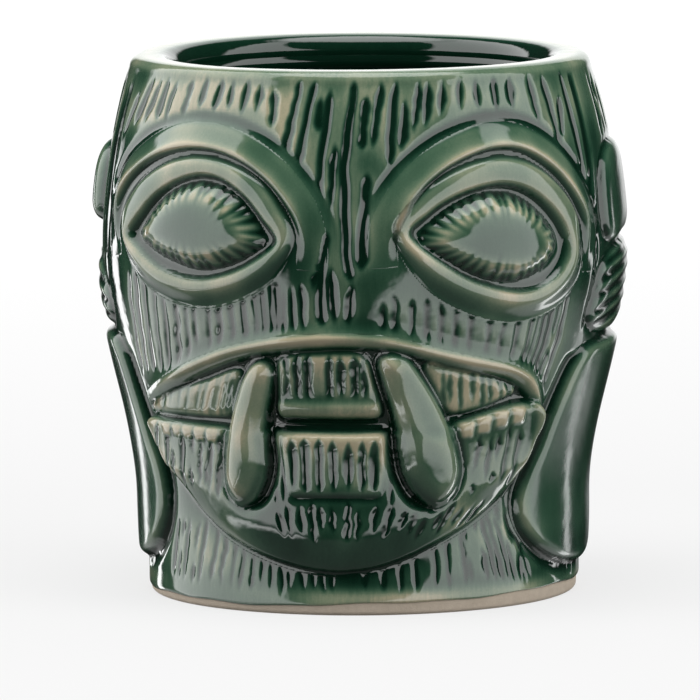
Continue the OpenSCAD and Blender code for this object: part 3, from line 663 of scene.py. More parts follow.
def add_ear(relief, side, top, middle, lobe):
    """A smooth top, a ribbed middle and a long smooth lobe with a furrow along its front."""
    s_top, s_mid, s_lobe = (inside_distance(p) for p in (top, middle, lobe))
    for part, s_part in (("_ear_top", s_top), ("_ear_middle", s_mid), ("_ear_lobe", s_lobe)):
        relief.signed[side + part] = s_part
        relief.groove[s_part > -1.4] = 0
    relief.ears += EAR_TOP_RISE[side] * dome(s_top, 4.0) + 1.2 * dome(s_mid, 4.0)
    relief.ears += 1.6 * dome(s_lobe, 2.0) + 0.5 * dome(s_lobe, 13)
    front = (np.abs(U) < 62) & (Z < 46)
    relief.height -= 0.7 * fade(-s_lobe, 1.0, 3.2) * (s_lobe <= 0) * front
    relief.height -= 0.5 * fade(np.minimum(-s_top, -s_mid), 0.3, 1.8) * (s_top <= 0) * (s_mid <= 0)
    out = -1 if side == "left" else 1
    ribs = np.zeros(U.shape)
    for z0 in (52.2, 55, 57.8, 60.6, 63):
        points = [(out * 52, z0 - 1.6), (out * 60, z0), (out * 70, z0 + 1.4), (out * 84, z0 + 1)]
        stroke(ribs, points, 1.9, RIB_DEPTH[side], 0.2, run="u")
    relief.cut(ribs * ease(s_mid / 0.8))


def build_field():
    """The finished surface, its grooves, the forms without grooves, the ears' rise, and signed distances."""
    relief = Relief()
    add_eyes(relief)
    lip_edge = add_lip(relief)
    add_upper_teeth(relief)
    add_jaw(relief)
    add_tusk(relief, "left_tusk", LEFT_TUSK, LEFT_CREASE, 1)
    add_tusk(relief, "right_tusk", RIGHT_TUSK, RIGHT_CREASE, -1)
    add_ear(relief, "left", LEFT_EAR_TOP, LEFT_EAR_MIDDLE, LEFT_EAR_LOBE)
    add_ear(relief, "right", RIGHT_EAR_TOP, RIGHT_EAR_MIDDLE, RIGHT_EAR_LOBE)
    s = relief.signed
    for name in s:
        if not name.endswith(("brow", "eyelid")):
            s[name] = s[name] + SEAM_OUT
    s["upper_lip"] = np.minimum(lip_edge, -s["jaw"])
    groove = blur(relief.groove, GROOVE_BLUR)
    ears = blur(relief.ears, FORM_BLUR)
    height = blur(relief.height, FORM_BLUR) + ears
    return height - groove, groove, height, ears, s


surface, groove_field, smooth_field, ear_rise, signed = build_field()


# The glaze's least and greatest thickness, in the units that the materials read
THINNEST, THICKEST = 0.1, 3.4


def glaze_field():
    """Thickness of the glaze: it runs off the ridges and pools in the grooves and creases."""
    hollow = np.clip((blur(surface, 0.55) - surface) / 0.12, -1.1, 1.8)
    crease = np.clip((blur(surface, 1.5) - surface) / 0.45, -1.2, 1.6)
    bowl = np.clip((blur(smooth_field, 3.2) - smooth_field) / 1.0, -1.0, 1.4)
    grain = np.clip(groove_field / 0.19, 0, 1.2)
    runs = 0.12 * cloud(9, 2.0) + 0.09 * cloud(3.0, 2.5)
    near_groove = np.clip(blur(groove_field, 1.6) / 0.075, 0, 1)
    t = 1.55 + 0.35 * hollow + 0.4 * crease + 0.35 * bowl + 1.65 * grain - 0.75 * near_groove + runs
    t += 0.2 * ease((12 - Z) / 12)

    # Thinner on the lip and the teeth
    t -= 0.1 * ease(signed["upper_lip"] / 0.8 + 0.5)
    side_teeth = np.maximum(signed["left_upper_teeth"], signed["right_upper_teeth"])
    t -= 0.95 * ease(side_teeth / 0.8)
    low_teeth = np.maximum(signed["left_lower_teeth"], signed["right_lower_teeth"])
    t -= 0.6 * ease(low_teeth / 0.8)
    t += 0.15 * ease(signed["right_tusk"] / 1.5) - 0.2 * ease(signed["left_tusk"] / 1.5)

    # Eyeballs: green cuts round a darker middle
    eyeballs = np.maximum(signed["left_eyeball"], signed["right_eyeball"])
    t += 0.8 * (grain - 0.25) * ease(eyeballs / 0.8) * near_groove
    t += 0.65 * ease((eyeballs - 3.2) / 2.2)

    # Pools between the brows, under the chin, on the chin and above the brows
    t += 0.35 * fade(np.abs(U), 4, 9) * fade(np.abs(Z - 74), 16, 24)
    t += fade(np.abs(U), 10, 24) * fade(Z, 19, 27)
    t += 0.5 * fade(np.abs(U), 14, 26) * fade(np.abs(Z - 22), 5, 10)
    for side, amount in (("left", 0.5), ("right", 1.0)):
        above = fade(signed[side + "_eyelid"], -6.5, -4.5) * fade(-Z, -84, -76)
        t += amount * above * fade(np.abs(signed[side + "_brow"] + 0.4), 0.5, 2.4)

    # Thin on the left of the forehead, thick on the temples, the right of the neck and beside the nose
    t -= 0.5 * fade(np.abs(Z - 93), 3, 7) * fade(np.abs(U + 28), 16, 22)
    t += fade(np.abs(np.abs(U) - 54), 3, 8) * fade(np.abs(Z - 69), 14, 24)
    t += 0.7 * ease((U - 10) / 12) * fade(Z, 9, 15)
    t += 0.8 * fade(np.hypot(U + 9, Z - 63), 3, 9)

    # It ends in a thin beige edge above the foot, and thins over the rim
    bare = fade(Z, 3.4, 6.2) * np.clip(0.85 + 0.3 * cloud(14), 0.3, 1)
    bare *= 1 - 0.7 * fade(np.abs(U + 36), 8, 24)
    t += (0.15 - t) * bare
    t *= 1 - (0.45 + 0.15 * fade(np.abs(U + 40), 8, 30)) * ease((Z - 97.2) / 2.0)
    return np.clip(t, THINNEST, THICKEST)


glaze = glaze_field()

# Which piece lies on which: a piece dips below the ones that stand on it
UPPER = ["left_tusk", "right_tusk", "left_lower_teeth", "centre_lower_teeth", "right_lower_teeth"]
LOWER = [n for n in signed if n not in UPPER]
# How far a piece runs on past its seam, where its back lies in the wall, and its least thickness
OVERLAP, BACK_H, LEAST_T = 0.55, -1.2, 0.35


def sink(depth_in):
    """How far a surface drops, this far past the seam: hardly at first, so that the seam can't be seen."""
    return 6 * np.maximum(depth_in, 0) ** 4


def dipped(s_other):
    """Drop of the surface under a form whose signed distance is s_other."""
    room = np.maximum(surface + 0.5, 0.15)
    return room * np.tanh(sink(np.minimum(s_other, 2)) / room)


def wall_r(z):
    """Radius of the cup's outside at height z: a waist, a belly and a narrower rim."""
    mid = WAIST_R + (BELLY_R - WAIST_R) * ease((z - WAIST_Z) / (BELLY_Z - WAIST_Z))
    top = BELLY_R - (BELLY_R - RIM_R) * (np.maximum(z - BELLY_Z, 0) / (MUG_H - BELLY_Z)) ** CROWN_POWER
    return np.where(z < BELLY_Z, mid, top)


def inner_r(z):
    """Radius of the cup's inside at height z, drawn in towards the opening under the lip."""
    swell = (wall_r(LIP_BASE_Z) - WALL_T - OPENING_R) * ease((z - LIP_START_Z) / (LIP_BASE_Z - LIP_START_Z))
    return np.where(z >= LIP_BASE_Z, OPENING_R, np.maximum(OPENING_R, wall_r(z) - WALL_T - swell))


def around(r, a, z):
    """Points at radius r, angle a from the front and height z, turned from mm into metres."""
    return np.stack([r * np.sin(a), -r * np.cos(a), z + 0 * a], axis=-1) * MM


def on_wall(u, z, h):
    """Points that stand h off the wall."""
    return around(wall_r(z) + h, u / FACE_R, z)


# ---------------------------------------------------------------- meshes

def make_object(name, verts, faces, glaze_values=None):
    """Object from vertices in metres and lists of triangles or quads, shaded smooth."""
    mesh = bpy.data.meshes.new(name)
    mesh.from_pydata(np.asarray(verts, float).tolist(), [], [list(map(int, f)) for f in faces])
    mesh.validate()
    mesh.polygons.foreach_set("use_smooth", np.ones(len(mesh.polygons), bool))
    if glaze_values is not None:
        layer = mesh.attributes.new("glaze", "FLOAT", "POINT")
        layer.data.foreach_set("value", np.asarray(glaze_values, np.float32))
    mesh.update()
    obj = bpy.data.objects.new(name, mesh)
    bpy.context.scene.collection.objects.link(obj)
    return obj


def clip_grid(level, rows, cols):
    """Triangles of the grid where level is positive, cut cleanly along its zero line.

    Gives each vertex as a pair of grid points and its place between them, and the triangles."""
    jj, ii = np.meshgrid(rows, cols, indexing="ij")
    n_c = len(cols)
    lev = level[jj, ii].ravel()
    r, c = np.meshgrid(np.arange(len(rows) - 1), np.arange(n_c - 1), indexing="ij")
    a = (r * n_c + c).ravel()
    b, d = a + 1, a + n_c
    e = d + 1
    tris = np.concatenate([np.stack([a, b, e], 1), np.stack([a, e, d], 1)])
    pos = lev[tris] > 0
    count = pos.sum(1)
    keep = tris[count == 3].tolist()
    cuts = {}

    def cut(p, q):
        return cuts.setdefault((min(p, q), max(p, q)), len(lev) + len(cuts))

    crossed = (count > 0) & (count < 3)
    for tri, inside in zip(tris[crossed].tolist(), pos[crossed].tolist()):
        one_in = sum(inside) == 1
        k = inside.index(one_in)
        p, q, s = tri[k], tri[(k + 1) % 3], tri[(k + 2) % 3]
        x, y = cut(p, q), cut(s, p)
        keep += [[p, x, y]] if one_in else [[q, s, y], [q, y, x]]
    pairs = np.array([[i, i] for i in range(len(lev))] + [list(k) for k in cuts])
    la, lb = lev[pairs[:, 0]], lev[pairs[:, 1]]
    same = pairs[:, 0] == pairs[:, 1]
    t = np.where(same, 0, la / np.where(same, 1, la - lb))
    used, tris = np.unique(np.array(keep), return_inverse=True)
    return pairs[used], t[used], tris.reshape(-1, 3), (jj.ravel(), ii.ravel())


def relief_piece(name, s_own, s_above):
    """Closed piece cut from the height field, with its back sunk into the wall."""
    level = s_own + OVERLAP
    at_z, at_u = np.nonzero(level > 0)
    rows = np.arange(max(at_z.min() - 1, 0), min(at_z.max() + 2, N_Z))
    cols = np.arange(at_u.min() - 1, at_u.max() + 2)
    pairs, t, tris, (jj, ii) = clip_grid(level, rows, cols)
    h = surface - sink(-s_own)
    for other in s_above:
        h = h - dipped(other)
    h = np.maximum(h, BACK_H + LEAST_T)

    def value(field):
        flat = field[jj, ii]
        return flat[pairs[:, 0]] * (1 - t) + flat[pairs[:, 1]] * t

    u, z = value(U), value(Z)
    n = len(u)
    edges = np.concatenate([tris[:, [0, 1]], tris[:, [1, 2]], tris[:, [2, 0]]])
    seen = set(map(tuple, edges.tolist()))
    sides = [[q, p, p + n, q + n] for p, q in seen if (q, p) not in seen]
    faces = tris.tolist() + (tris[:, ::-1] + n).tolist() + sides
    points = np.vstack([on_wall(u, z, value(h)), on_wall(u, z, np.full(n, BACK_H))])
    shade = value(glaze)
    return make_object(name, points, faces, np.r_[shade, shade])


def stitch(low, high, low_t, high_t):
    """Triangles between two chains of vertices, advancing along whichever is behind."""
    i = j = 0
    out = []
    while i < len(low) - 1 or j < len(high) - 1:
        if j == len(high) - 1 or (i < len(low) - 1 and low_t[i + 1] <= high_t[j + 1]):
            out.append([low[i], low[i + 1], high[j]])
            i += 1
        else:
            out.append([low[i], high[j + 1], high[j]])
            j += 1
    return out


def sample(field, u, z):
    """Field at any place on the wall."""
    fi = (u / U_STEP + N_U // 2) % N_U
    fj = np.clip(z / Z_STEP, 0, N_Z - 1.001)
    i, j = np.floor(fi).astype(int), np.floor(fj).astype(int)
    ti, tj = fi - i, fj - j
    k = (i + 1) % N_U
    i = i % N_U
    return ((field[j, i] * (1 - ti) + field[j, k] * ti) * (1 - tj)
            + (field[j + 1, i] * (1 - ti) + field[j + 1, k] * ti) * tj)


def strip(a, b):
    """Quads between two open rows of vertex numbers of the same length."""
    return [[a[k], a[k + 1], b[k + 1], b[k]] for k in range(len(a) - 1)]


def ring_faces(a, b):
    """Quads between two closed rings of vertex numbers of the same length."""
    return strip(a + a[:1], b + b[:1])


# The wall is fine up to this far from the middle of the face, and coarser round the back
FINE_TO, BACK_STRIDE, ROW_STEP = 53.0, 3, 0.52
# Rings out of sight take every second vertex
THIN = 2
# Where the carved rows start, and the wall's seat on the foot
GLAZE_EDGE_Z, SEAT_Z = 3.4, FOOT_H + 0.06
# Glaze inside the cup, on the lining, and on faces that nothing shows
INNER_GLAZE, LINER_GLAZE, HIDDEN_GLAZE = 3.2, 2.8, 1.5
# How far down the glaze's lower edge has run at each ring, and how far in it is tucked
EDGE_ROLL = ((0.3, 0.0), (0.6, 0.03), (0.85, 0.1), (0.96, 0.25), (1.0, 0.5))
LIP_STEPS, FILLET_STEPS = 7, 5
INSIDE_R = WAIST_R - WALL_T
OUTER_ROUND_R = float(wall_r(MUG_H - LIP_OUTER_ROUND)) - LIP_OUTER_ROUND


class Shell:
    """Vertices, glaze and faces of the wall while it is built row by row."""

    def __init__(self):
        self.count, self.points, self.values, self.faces = 0, [], [], []

    def add(self, points, values):
        """Adds a row of vertices and gives their numbers."""
        first, self.count = self.count, self.count + len(points)
        self.points.append(points)
        self.values.append(values)
        return list(range(first, self.count))


def wall_surface():
    """Height of the wall's own surface, which drops out of sight under each piece."""
    h = surface - ear_rise
    for name in LOWER:
        h = h - (0.3 * ease(signed[name] / 1.2) if "ear" in name else dipped(signed[name]))
    for name in UPPER:
        off_jaw = (signed[name] > 0) & (signed["jaw"] <= 0)
        h = np.where(off_jaw, np.minimum(h, surface - dipped(signed[name])), h)
    return np.maximum(h, -1.0)


def wall_rows(shell, h_out):
    """Carved outside of the wall. Gives u round a ring, the lowest ring and the highest."""
    fine = np.nonzero(np.abs(u_axis) <= FINE_TO)[0]
    back = np.unique(np.r_[np.arange(fine[-1], N_U + fine[0], BACK_STRIDE), N_U + fine[0]])
    u_fine, u_back = u_axis[fine], (u_axis[0] + back * U_STEP)[1:-1]
    n_rows = int((MUG_H - LIP_OUTER_ROUND - GLAZE_EDGE_Z) / ROW_STEP) // 2 * 2 + 1
    z_rows = np.linspace(GLAZE_EDGE_Z, MUG_H - LIP_OUTER_ROUND, n_rows)

    def row(u, height):
        z = np.full(len(u), height)
        return shell.add(on_wall(u, z, sample(h_out, u, z)), sample(glaze, u, z))

    fine_rows = [row(u_fine, z) for z in z_rows]
    # The back has every second row, from one side of the face round to the other
    back_rows = {}
    for r in range(0, n_rows, 2):
        back_rows[r] = [fine_rows[r][-1]] + row(u_back, z_rows[r]) + [fine_rows[r][0]]
    for low, high in zip(fine_rows[:-1], fine_rows[1:]):
        shell.faces += strip(low, high)
    for r in range(0, n_rows - 2, 2):
        a, b = back_rows[r], back_rows[r + 2]
        shell.faces += strip(a[1:-1], b[1:-1])
        m0, m1 = fine_rows[r + 1][-1], fine_rows[r + 1][0]
        shell.faces += [[a[0], a[1], m0], [m0, a[1], b[1]], [m0, b[1], b[0]]]
        shell.faces += [[a[-2], a[-1], m1], [a[-2], m1, b[-2]], [b[-2], m1, b[-1]]]
    lowest = fine_rows[0] + back_rows[0][1:-1]
    highest = fine_rows[-1] + back_rows[n_rows - 1][1:-1]
    return np.r_[u_fine, u_back], lowest, highest


def inside_profile():
    """Radius, height and glaze of each ring from the lip's flat top down to the floor's edge."""
    inner_c = OPENING_R + LIP_INNER_ROUND
    profile = [(OUTER_ROUND_R - 0.9, MUG_H, 0.35), (inner_c, MUG_H, 0.8)]
    for step in range(1, LIP_STEPS + 1):
        b = math.radians(90 * step / LIP_STEPS)
        r, z = inner_c - LIP_INNER_ROUND * math.sin(b), LIP_BASE_Z + LIP_INNER_ROUND * math.cos(b)
        profile.append((r, z, 0.8 + 2.4 * min(step / 3, 1)))
    for z in np.linspace(LIP_BASE_Z - 1.5, FLOOR_TOP + FLOOR_FILLET, 22):
        profile.append((float(inner_r(z)), z, INNER_GLAZE))
    for step in range(1, FILLET_STEPS + 1):
        b = math.radians(90 * step / FILLET_STEPS)
        r, z = INSIDE_R - FLOOR_FILLET * (1 - math.cos(b)), FLOOR_TOP + FLOOR_FILLET * (1 - math.sin(b))
        profile.append((r, z, INNER_GLAZE))
    return profile + [(INSIDE_R - FLOOR_FILLET - 0.4, SEAT_Z, HIDDEN_GLAZE)]


def wall_shell():
    """The cup's wall: carved outside, rolled lip and plain inside, closed."""
    shell, h_out = Shell(), wall_surface()
    ring_u, last, top_ring = wall_rows(shell, h_out)
    n_ring, sector = len(ring_u), ring_u / FACE_R
    a_thin = sector[::THIN]
    t_full = list(range(n_ring + 1))
    t_thin = t_full[::THIN] + ([n_ring] if n_ring % THIN else [])

    # The glaze's lower edge, rolled in over the bare foot
    edge_wave = 2.0 + 0.75 * np.sin(u_axis / FACE_R)
    edge_wave += 0.16 * np.sin(u_axis / 7.1 + 1) + 0.1 * np.sin(u_axis / 2.7) + 0.1 * np.sin(u_axis / 16)
    wave = np.interp(ring_u, u_axis, edge_wave, period=2 * math.pi * FACE_R)
    for drop, tuck in EDGE_ROLL:
        z = GLAZE_EDGE_Z + (wave - GLAZE_EDGE_Z) * drop
        h = sample(h_out, ring_u, np.full(n_ring, GLAZE_EDGE_Z)) * (1 - drop) - tuck
        ring = shell.add(on_wall(ring_u, z, h), sample(glaze, ring_u, z))
        shell.faces += ring_faces(ring, last)
        last = ring
    seat = shell.add(around(FOOT_R - 1.2, a_thin, SEAT_Z), np.full(len(a_thin), HIDDEN_GLAZE))
    shell.faces += stitch(seat + seat[:1], last + last[:1], t_thin, t_full)

    # The lip's outer round, slightly uneven as on a hand-finished cup
    wobble = 0.09 * np.sin(sector * 2 + 0.7) + 0.05 * np.sin(sector * 3 + 2)
    last = top_ring
    for step in range(1, LIP_STEPS + 1):
        a = math.radians(90 * step / LIP_STEPS)
        z = MUG_H - LIP_OUTER_ROUND * (1 - math.sin(a))
        h = sample(h_out, ring_u, np.full(n_ring, min(z, MUG_H - 0.2)))
        r = OUTER_ROUND_R + (LIP_OUTER_ROUND + h * (1 - step / LIP_STEPS)) * math.cos(a)
        values = np.clip(sample(glaze, ring_u, np.full(n_ring, z)), 0, 3)
        ring = shell.add(around(r, sector, z + wobble * math.sin(a)), values)
        shell.faces += ring_faces(last, ring)
        last = ring

    # Over the flat top and down inside the cup to the floor
    rings = []
    for r, z, value in inside_profile():
        lift = wobble[::THIN] * ease((z - 90) / 8)
        rings.append(shell.add(around(r, a_thin, z + lift), np.full(len(a_thin), value)))
    shell.faces += stitch(last + last[:1], rings[0] + rings[0][:1], t_full, t_thin)
    for p, q in zip(rings, rings[1:] + [seat]):
        shell.faces += ring_faces(p, q)
    return make_object("carved_wall", np.vstack(shell.points), shell.faces, np.concatenate(shell.values))


def turned(name, profile, n=192, value=None, wobble=0.0):
    """Closed turned piece from an open profile that starts and ends on the axis, or a closed loop off it."""
    a = np.arange(n) / n * 2 * math.pi
    verts, rings = [], []
    for k, (r, z) in enumerate(profile):
        if r == 0:
            rings.append([len(verts)] * n)
            verts.append((0, 0, z * MM))
            continue
        uneven_r = r + wobble * (np.sin(3 * a + k * 0.1) + 0.6 * np.sin(7 * a + 1))
        rings.append(list(range(len(verts), len(verts) + n)))
        verts += around(uneven_r, a, z).tolist()
    if profile[0][0] != 0:
        rings.append(rings[0])
    # On the axis two corners of a quad are one vertex
    faces = [list(dict.fromkeys(quad)) for p, q in zip(rings, rings[1:]) for quad in ring_faces(p, q)]
    return make_object(name, verts, faces, None if value is None else np.full(len(verts), value))


def arc(cx, cz, r, start, end, steps):
    """Points on an arc about (cx, cz), with angles in degrees from outwards to up."""
    angles = [math.radians(start + (end - start) * k / steps) for k in range(steps + 1)]
    return [(cx + r * math.cos(a), cz + r * math.sin(a)) for a in angles]


def floor_piece():
    """The cup's floor with its glazed underside, recessed in the foot ring."""
    edge = INSIDE_R - FLOOR_FILLET - 0.5
    profile = [(0, FOOT_RECESS), (8, FOOT_RECESS), (16, FOOT_RECESS + 0.05), (24, FOOT_RECESS),
               (30, FOOT_RECESS - 0.05), (FOOT_INNER_R - 0.9, FOOT_RECESS),
               (FOOT_INNER_R - 0.1, FOOT_RECESS + 0.4), (FOOT_INNER_R - 0.1, FOOT_H),
               (edge, FOOT_H + 0.05), (edge, FLOOR_TOP), (0, FLOOR_TOP)]
    return turned("cup_base", profile, value=HIDDEN_GLAZE)


def foot_piece():
    """The bare clay ring that the mug stands on."""
    profile = ([(FOOT_INNER_R + 0.6, 0.0), (FOOT_INNER_R + 3, 0.0), (FOOT_R - 3, 0.0)]
               + arc(FOOT_R - 0.8, 0.8, 0.8, -90, 0, 6)
               + [(FOOT_R + 0.05, 1.7), (FOOT_R + 0.05, 2.6), (FOOT_R - 0.3, 3.1), (FOOT_R - 1.6, 3.15)]
               + [(FOOT_INNER_R, 3.0), (FOOT_INNER_R, 0.7)])
    return turned("clay_foot", profile, n=256, wobble=0.03)


def liner_piece():
    """The thick glaze inside the cup, thinning to nothing under the lip."""
    inner, outer = [], []
    top = LIP_BASE_Z - 0.6
    for z in np.linspace(top, FLOOR_TOP + FLOOR_FILLET, 34):
        t = LINER_T * float(ease((top - z) / 5)) + 0.05
        inner.append((float(inner_r(z)) - t, z))
        outer.append((float(inner_r(z)) + 0.02, z))
    for step in range(1, 9):
        b = math.radians(90 * step / 8)
        r = FLOOR_FILLET - LINER_T
        inner.append((INSIDE_R - FLOOR_FILLET + r * math.cos(b), FLOOR_TOP + FLOOR_FILLET - r * math.sin(b)))
        outer.append((INSIDE_R - FLOOR_FILLET + FLOOR_FILLET * math.cos(b) + 0.02,
                      FLOOR_TOP + FLOOR_FILLET - FLOOR_FILLET * math.sin(b) - 0.02))
    inner += [(18, FLOOR_TOP + LINER_T), (8, FLOOR_TOP + LINER_T - 0.05), (0, FLOOR_TOP + LINER_T - 0.06)]
    outer += [(18, FLOOR_TOP - 0.02), (0, FLOOR_TOP - 0.02)]
    return turned("liner_of_glaze", outer[::-1] + inner, value=LINER_GLAZE)


# ---------------------------------------------------------------- materials

def new_material(name):
    """Material with nodes. Gives it, its tree, the tree's nodes and links, and its shader."""
    mat = bpy.data.materials.new(name)
    mat.use_nodes = True
    tree = mat.node_tree
    return mat, tree, tree.nodes, tree.links, tree.nodes["Principled BSDF"]


def math_node(tree, op, a, b=None, clamp=False):
    """Output of a Math node. a and b are numbers or other nodes' outputs."""
    node = tree.nodes.new("ShaderNodeMath")
    node.operation, node.use_clamp = op, clamp
    for k, v in enumerate((a, b)):
        if v is None:
            continue
        if isinstance(v, (int, float)):
            node.inputs[k].default_value = v
        else:
            tree.links.new(v, node.inputs[k])
    return node.outputs[0]


def map_range(tree, value, start, end, low=0.0, high=1.0, smooth=True):
    """low where value is at start, high where it is at end, and between them in between."""
    node = tree.nodes.new("ShaderNodeMapRange")
    node.interpolation_type = "SMOOTHSTEP" if smooth else "LINEAR"
    tree.links.new(value, node.inputs["Value"])
    for key, number in zip(("From Min", "From Max", "To Min", "To Max"), (start, end, low, high)):
        node.inputs[key].default_value = number
    return node.outputs["Result"]


def noise(tree, vector, scale, detail=2.0, rough=0.5):
    """Value of a noise texture, scale being its bumps in a metre."""
    node = tree.nodes.new("ShaderNodeTexNoise")
    node.inputs["Scale"].default_value = scale
    node.inputs["Detail"].default_value = detail
    node.inputs["Roughness"].default_value = rough
    tree.links.new(vector, node.inputs["Vector"])
    return node.outputs[0]


def vary(tree, t, field, amount):
    """t with a noise field added, up to half of amount either way."""
    swing = math_node(tree, "MULTIPLY", math_node(tree, "SUBTRACT", field, 0.5), amount)
    return math_node(tree, "ADD", t, swing)


def add_bump(tree, height, strength, distance, bsdf):
    """Fine unevenness of the surface, distance being its height in metres."""
    bump = tree.nodes.new("ShaderNodeBump")
    bump.inputs["Strength"].default_value = strength
    bump.inputs["Distance"].default_value = distance
    tree.links.new(height, bump.inputs["Height"])
    tree.links.new(bump.outputs["Normal"], bsdf.inputs["Normal"])


# Light through the glaze falls off in each colour with its thickness
CLAY_SEEN = (0.45, 0.40, 0.27)
ABSORB = (1.58, 0.95, 1.03)
COLOUR_STOPS = 9


def glaze_material(name, shift=0.0, streak=0.25, speckle=0.12, ripple=0.5, rough_from=0.035):
    """Glossy glaze over clay, coloured by its thickness plus shift, streaks, specks and pools."""
    mat, tree, nodes, links, bsdf = new_material(name)
    coord = nodes.new("ShaderNodeTexCoord").outputs["Object"]
    thick = nodes.new("ShaderNodeAttribute")
    thick.attribute_type, thick.attribute_name = "GEOMETRY", "glaze"
    drawn_out = nodes.new("ShaderNodeMapping")
    drawn_out.inputs["Scale"].default_value = (1, 1, 0.12)
    links.new(coord, drawn_out.inputs["Vector"])
    t = thick.outputs["Fac"]
    t = vary(tree, t, noise(tree, drawn_out.outputs[0], 1500, 3.0, 0.6), 2 * streak)
    t = vary(tree, t, noise(tree, coord, 2600), 2 * speckle)
    t = vary(tree, t, noise(tree, coord, 95), 0.5)
    t = math_node(tree, "ADD", t, shift)
    ramp = nodes.new("ShaderNodeValToRGB")
    links.new(math_node(tree, "DIVIDE", t, THICKEST, clamp=True), ramp.inputs["Fac"])
    stops = ramp.color_ramp.elements
    while len(stops) < COLOUR_STOPS:
        stops.new(0.5)
    for k, stop in enumerate(stops):
        stop.position = k / (COLOUR_STOPS - 1)
    for stop in stops:
        depth = THICKEST * stop.position
        stop.color = [c * math.exp(-q * depth) for c, q in zip(CLAY_SEEN, ABSORB)] + [1]
    links.new(ramp.outputs["Color"], bsdf.inputs["Base Color"])
    rough = math_node(tree, "MULTIPLY", noise(tree, coord, 420), 0.05)
    links.new(math_node(tree, "ADD", rough, rough_from), bsdf.inputs["Roughness"])
    bsdf.inputs["IOR"].default_value = 1.5
    add_bump(tree, noise(tree, coord, 260, 2.0, 0.45), ripple, 0.00012, bsdf)
    return mat


def clay_material(name):
    """Matte unglazed clay, sandy in colour and touch."""
    mat, tree, nodes, links, bsdf = new_material(name)
    coord = nodes.new("ShaderNodeTexCoord").outputs["Object"]
    mix = nodes.new("ShaderNodeMix")
    mix.data_type = "RGBA"
    links.new(noise(tree, coord, 700, 4.0, 0.65), mix.inputs["Factor"])
    mix.inputs["A"].default_value = (0.42, 0.355, 0.28, 1)
    mix.inputs["B"].default_value = (0.57, 0.49, 0.40, 1)
    links.new(mix.outputs["Result"], bsdf.inputs["Base Color"])
    bsdf.inputs["Roughness"].default_value = 0.85
    bsdf.inputs["Specular IOR Level"].default_value = 0.25
    add_bump(tree, noise(tree, coord, 1800, 4.0, 0.7), 0.6, 0.00015, bsdf)
    return mat


LOOKS = {
    "wall_glaze": glaze_material("wall_glaze_look"),
    "cup_glaze": glaze_material("cup_glaze_look", shift=1.4, streak=0.05, speckle=0.05, ripple=0.35),
    "bare_clay": clay_material("bare_clay_look"),
    "eye_glaze": glaze_material("eye_glaze_look", streak=0.12),
    "tooth_glaze": glaze_material("tooth_glaze_look", shift=-0.1),
    "tusk_glaze": glaze_material("tusk_glaze_look", shift=-0.1, streak=0.1),
    "ridge_glaze": glaze_material("ridge_glaze_look", shift=-0.15, streak=0.1),
    "ear_glaze": glaze_material("ear_glaze_look", shift=0.5, streak=0.1, rough_from=0.12),
    "jaw_glaze": glaze_material("jaw_glaze_look", streak=0.2),
}


def finish_piece(obj, node, slot):
    """Gives a piece the material of its slot and its body, and hides the CAD node it stands for."""
    obj.data.materials.append(LOOKS[slot])
    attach(obj, "root")
    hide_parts(node)


# Slot of each relief piece, by the first of these words that is in its name
SLOT_WORDS = {"eyeball": "eye_glaze", "teeth": "tooth_glaze", "tusk": "tusk_glaze", "lid": "ridge_glaze",
              "brow": "ridge_glaze", "lip": "ridge_glaze", "jaw": "jaw_glaze", "ear": "ear_glaze"}

finish_piece(wall_shell(), "cup_wall", "wall_glaze")
finish_piece(floor_piece(), "cup_floor", "wall_glaze")
finish_piece(foot_piece(), "foot_ring", "bare_clay")
finish_piece(liner_piece(), "liner_glaze", "cup_glaze")
for node_name in LOWER + UPPER:
    above = UPPER if node_name in LOWER else []
    if "lower_teeth" in node_name:
        above = ["left_tusk", "right_tusk"]
    piece = relief_piece("carved_" + node_name, signed[node_name], [signed[n] for n in above])
    slot_name = next(slot for word, slot in SLOT_WORDS.items() if word in node_name)
    finish_piece(piece, node_name, slot_name)


# ---------------------------------------------------------------- studio

# Where the camera stands and looks, in metres and degrees. AIM_SIDE is to the right of the mug's axis
CAM_AZ, CAM_ROLL = math.radians(5.5), math.radians(-0.4)
CAM_DIST, CAM_HEIGHT = 2.0, 0.282
AIM_SIDE, AIM_Z = -0.0023, 0.0443
LENS_MM, SENSOR_MM = 557.0, 36.0

# The floor's half width in metres, its grey, and how brightly it glows at the mug's foot, dimmed there as a
# painted shadow
FLOOR_HALF, FLOOR_GREY, FLOOR_GLOW_IN_PAINTED_SHADOW = 6.0, 0.16, 0.72

# Brightness of the soft fill from below and from above, and of what no lamp lights
LOW_FILL, HIGH_FILL, DARK_ROOM = 0.16, 0.6, 0.02

# What the glaze mirrors, by direction seen from the mug. Each row: azimuths from the front, positive
# towards +X, heights, the softness of both, how far each upright edge leans, and the brightness
REFLECTED = [
    (-121, -33, -28, 62, 3, 4, -0.33, -0.38, 4.4),
    (-110, -46, -35, -32, 6, 1.5, -0.33, -0.38, 6.5),
    (30, 101, -28, 62, 3, 4, 0.8, 0.0, 4.1),
    (-150, -112, -75, -16, 8, 6, 0.0, 0.0, 1.1),
    (104, 150, -75, -16, 8, 6, 0.0, 0.0, 1.1),
    (127, 139, -40, -21, 1.5, 3, 0.0, 0.0, 5.5),
    (130, 135, -18, 0, 1.5, 3, 0.0, 0.0, 5.0),
    (-143, -136, -18, 0, 1.5, 3, 0.0, 0.0, 6.0),
    (164, 400, -6, 50, 4, 4, 0.0, 0.0, 1.8),
    (-400, -164, -6, 50, 4, 4, 0.0, 0.0, 1.8),
    (-400, 400, 64, 95, 1, 5, 0.0, 0.0, 6.5),
    (-400, 400, -95, -34, 1, 4, 0.0, 0.0, 0.3),
]


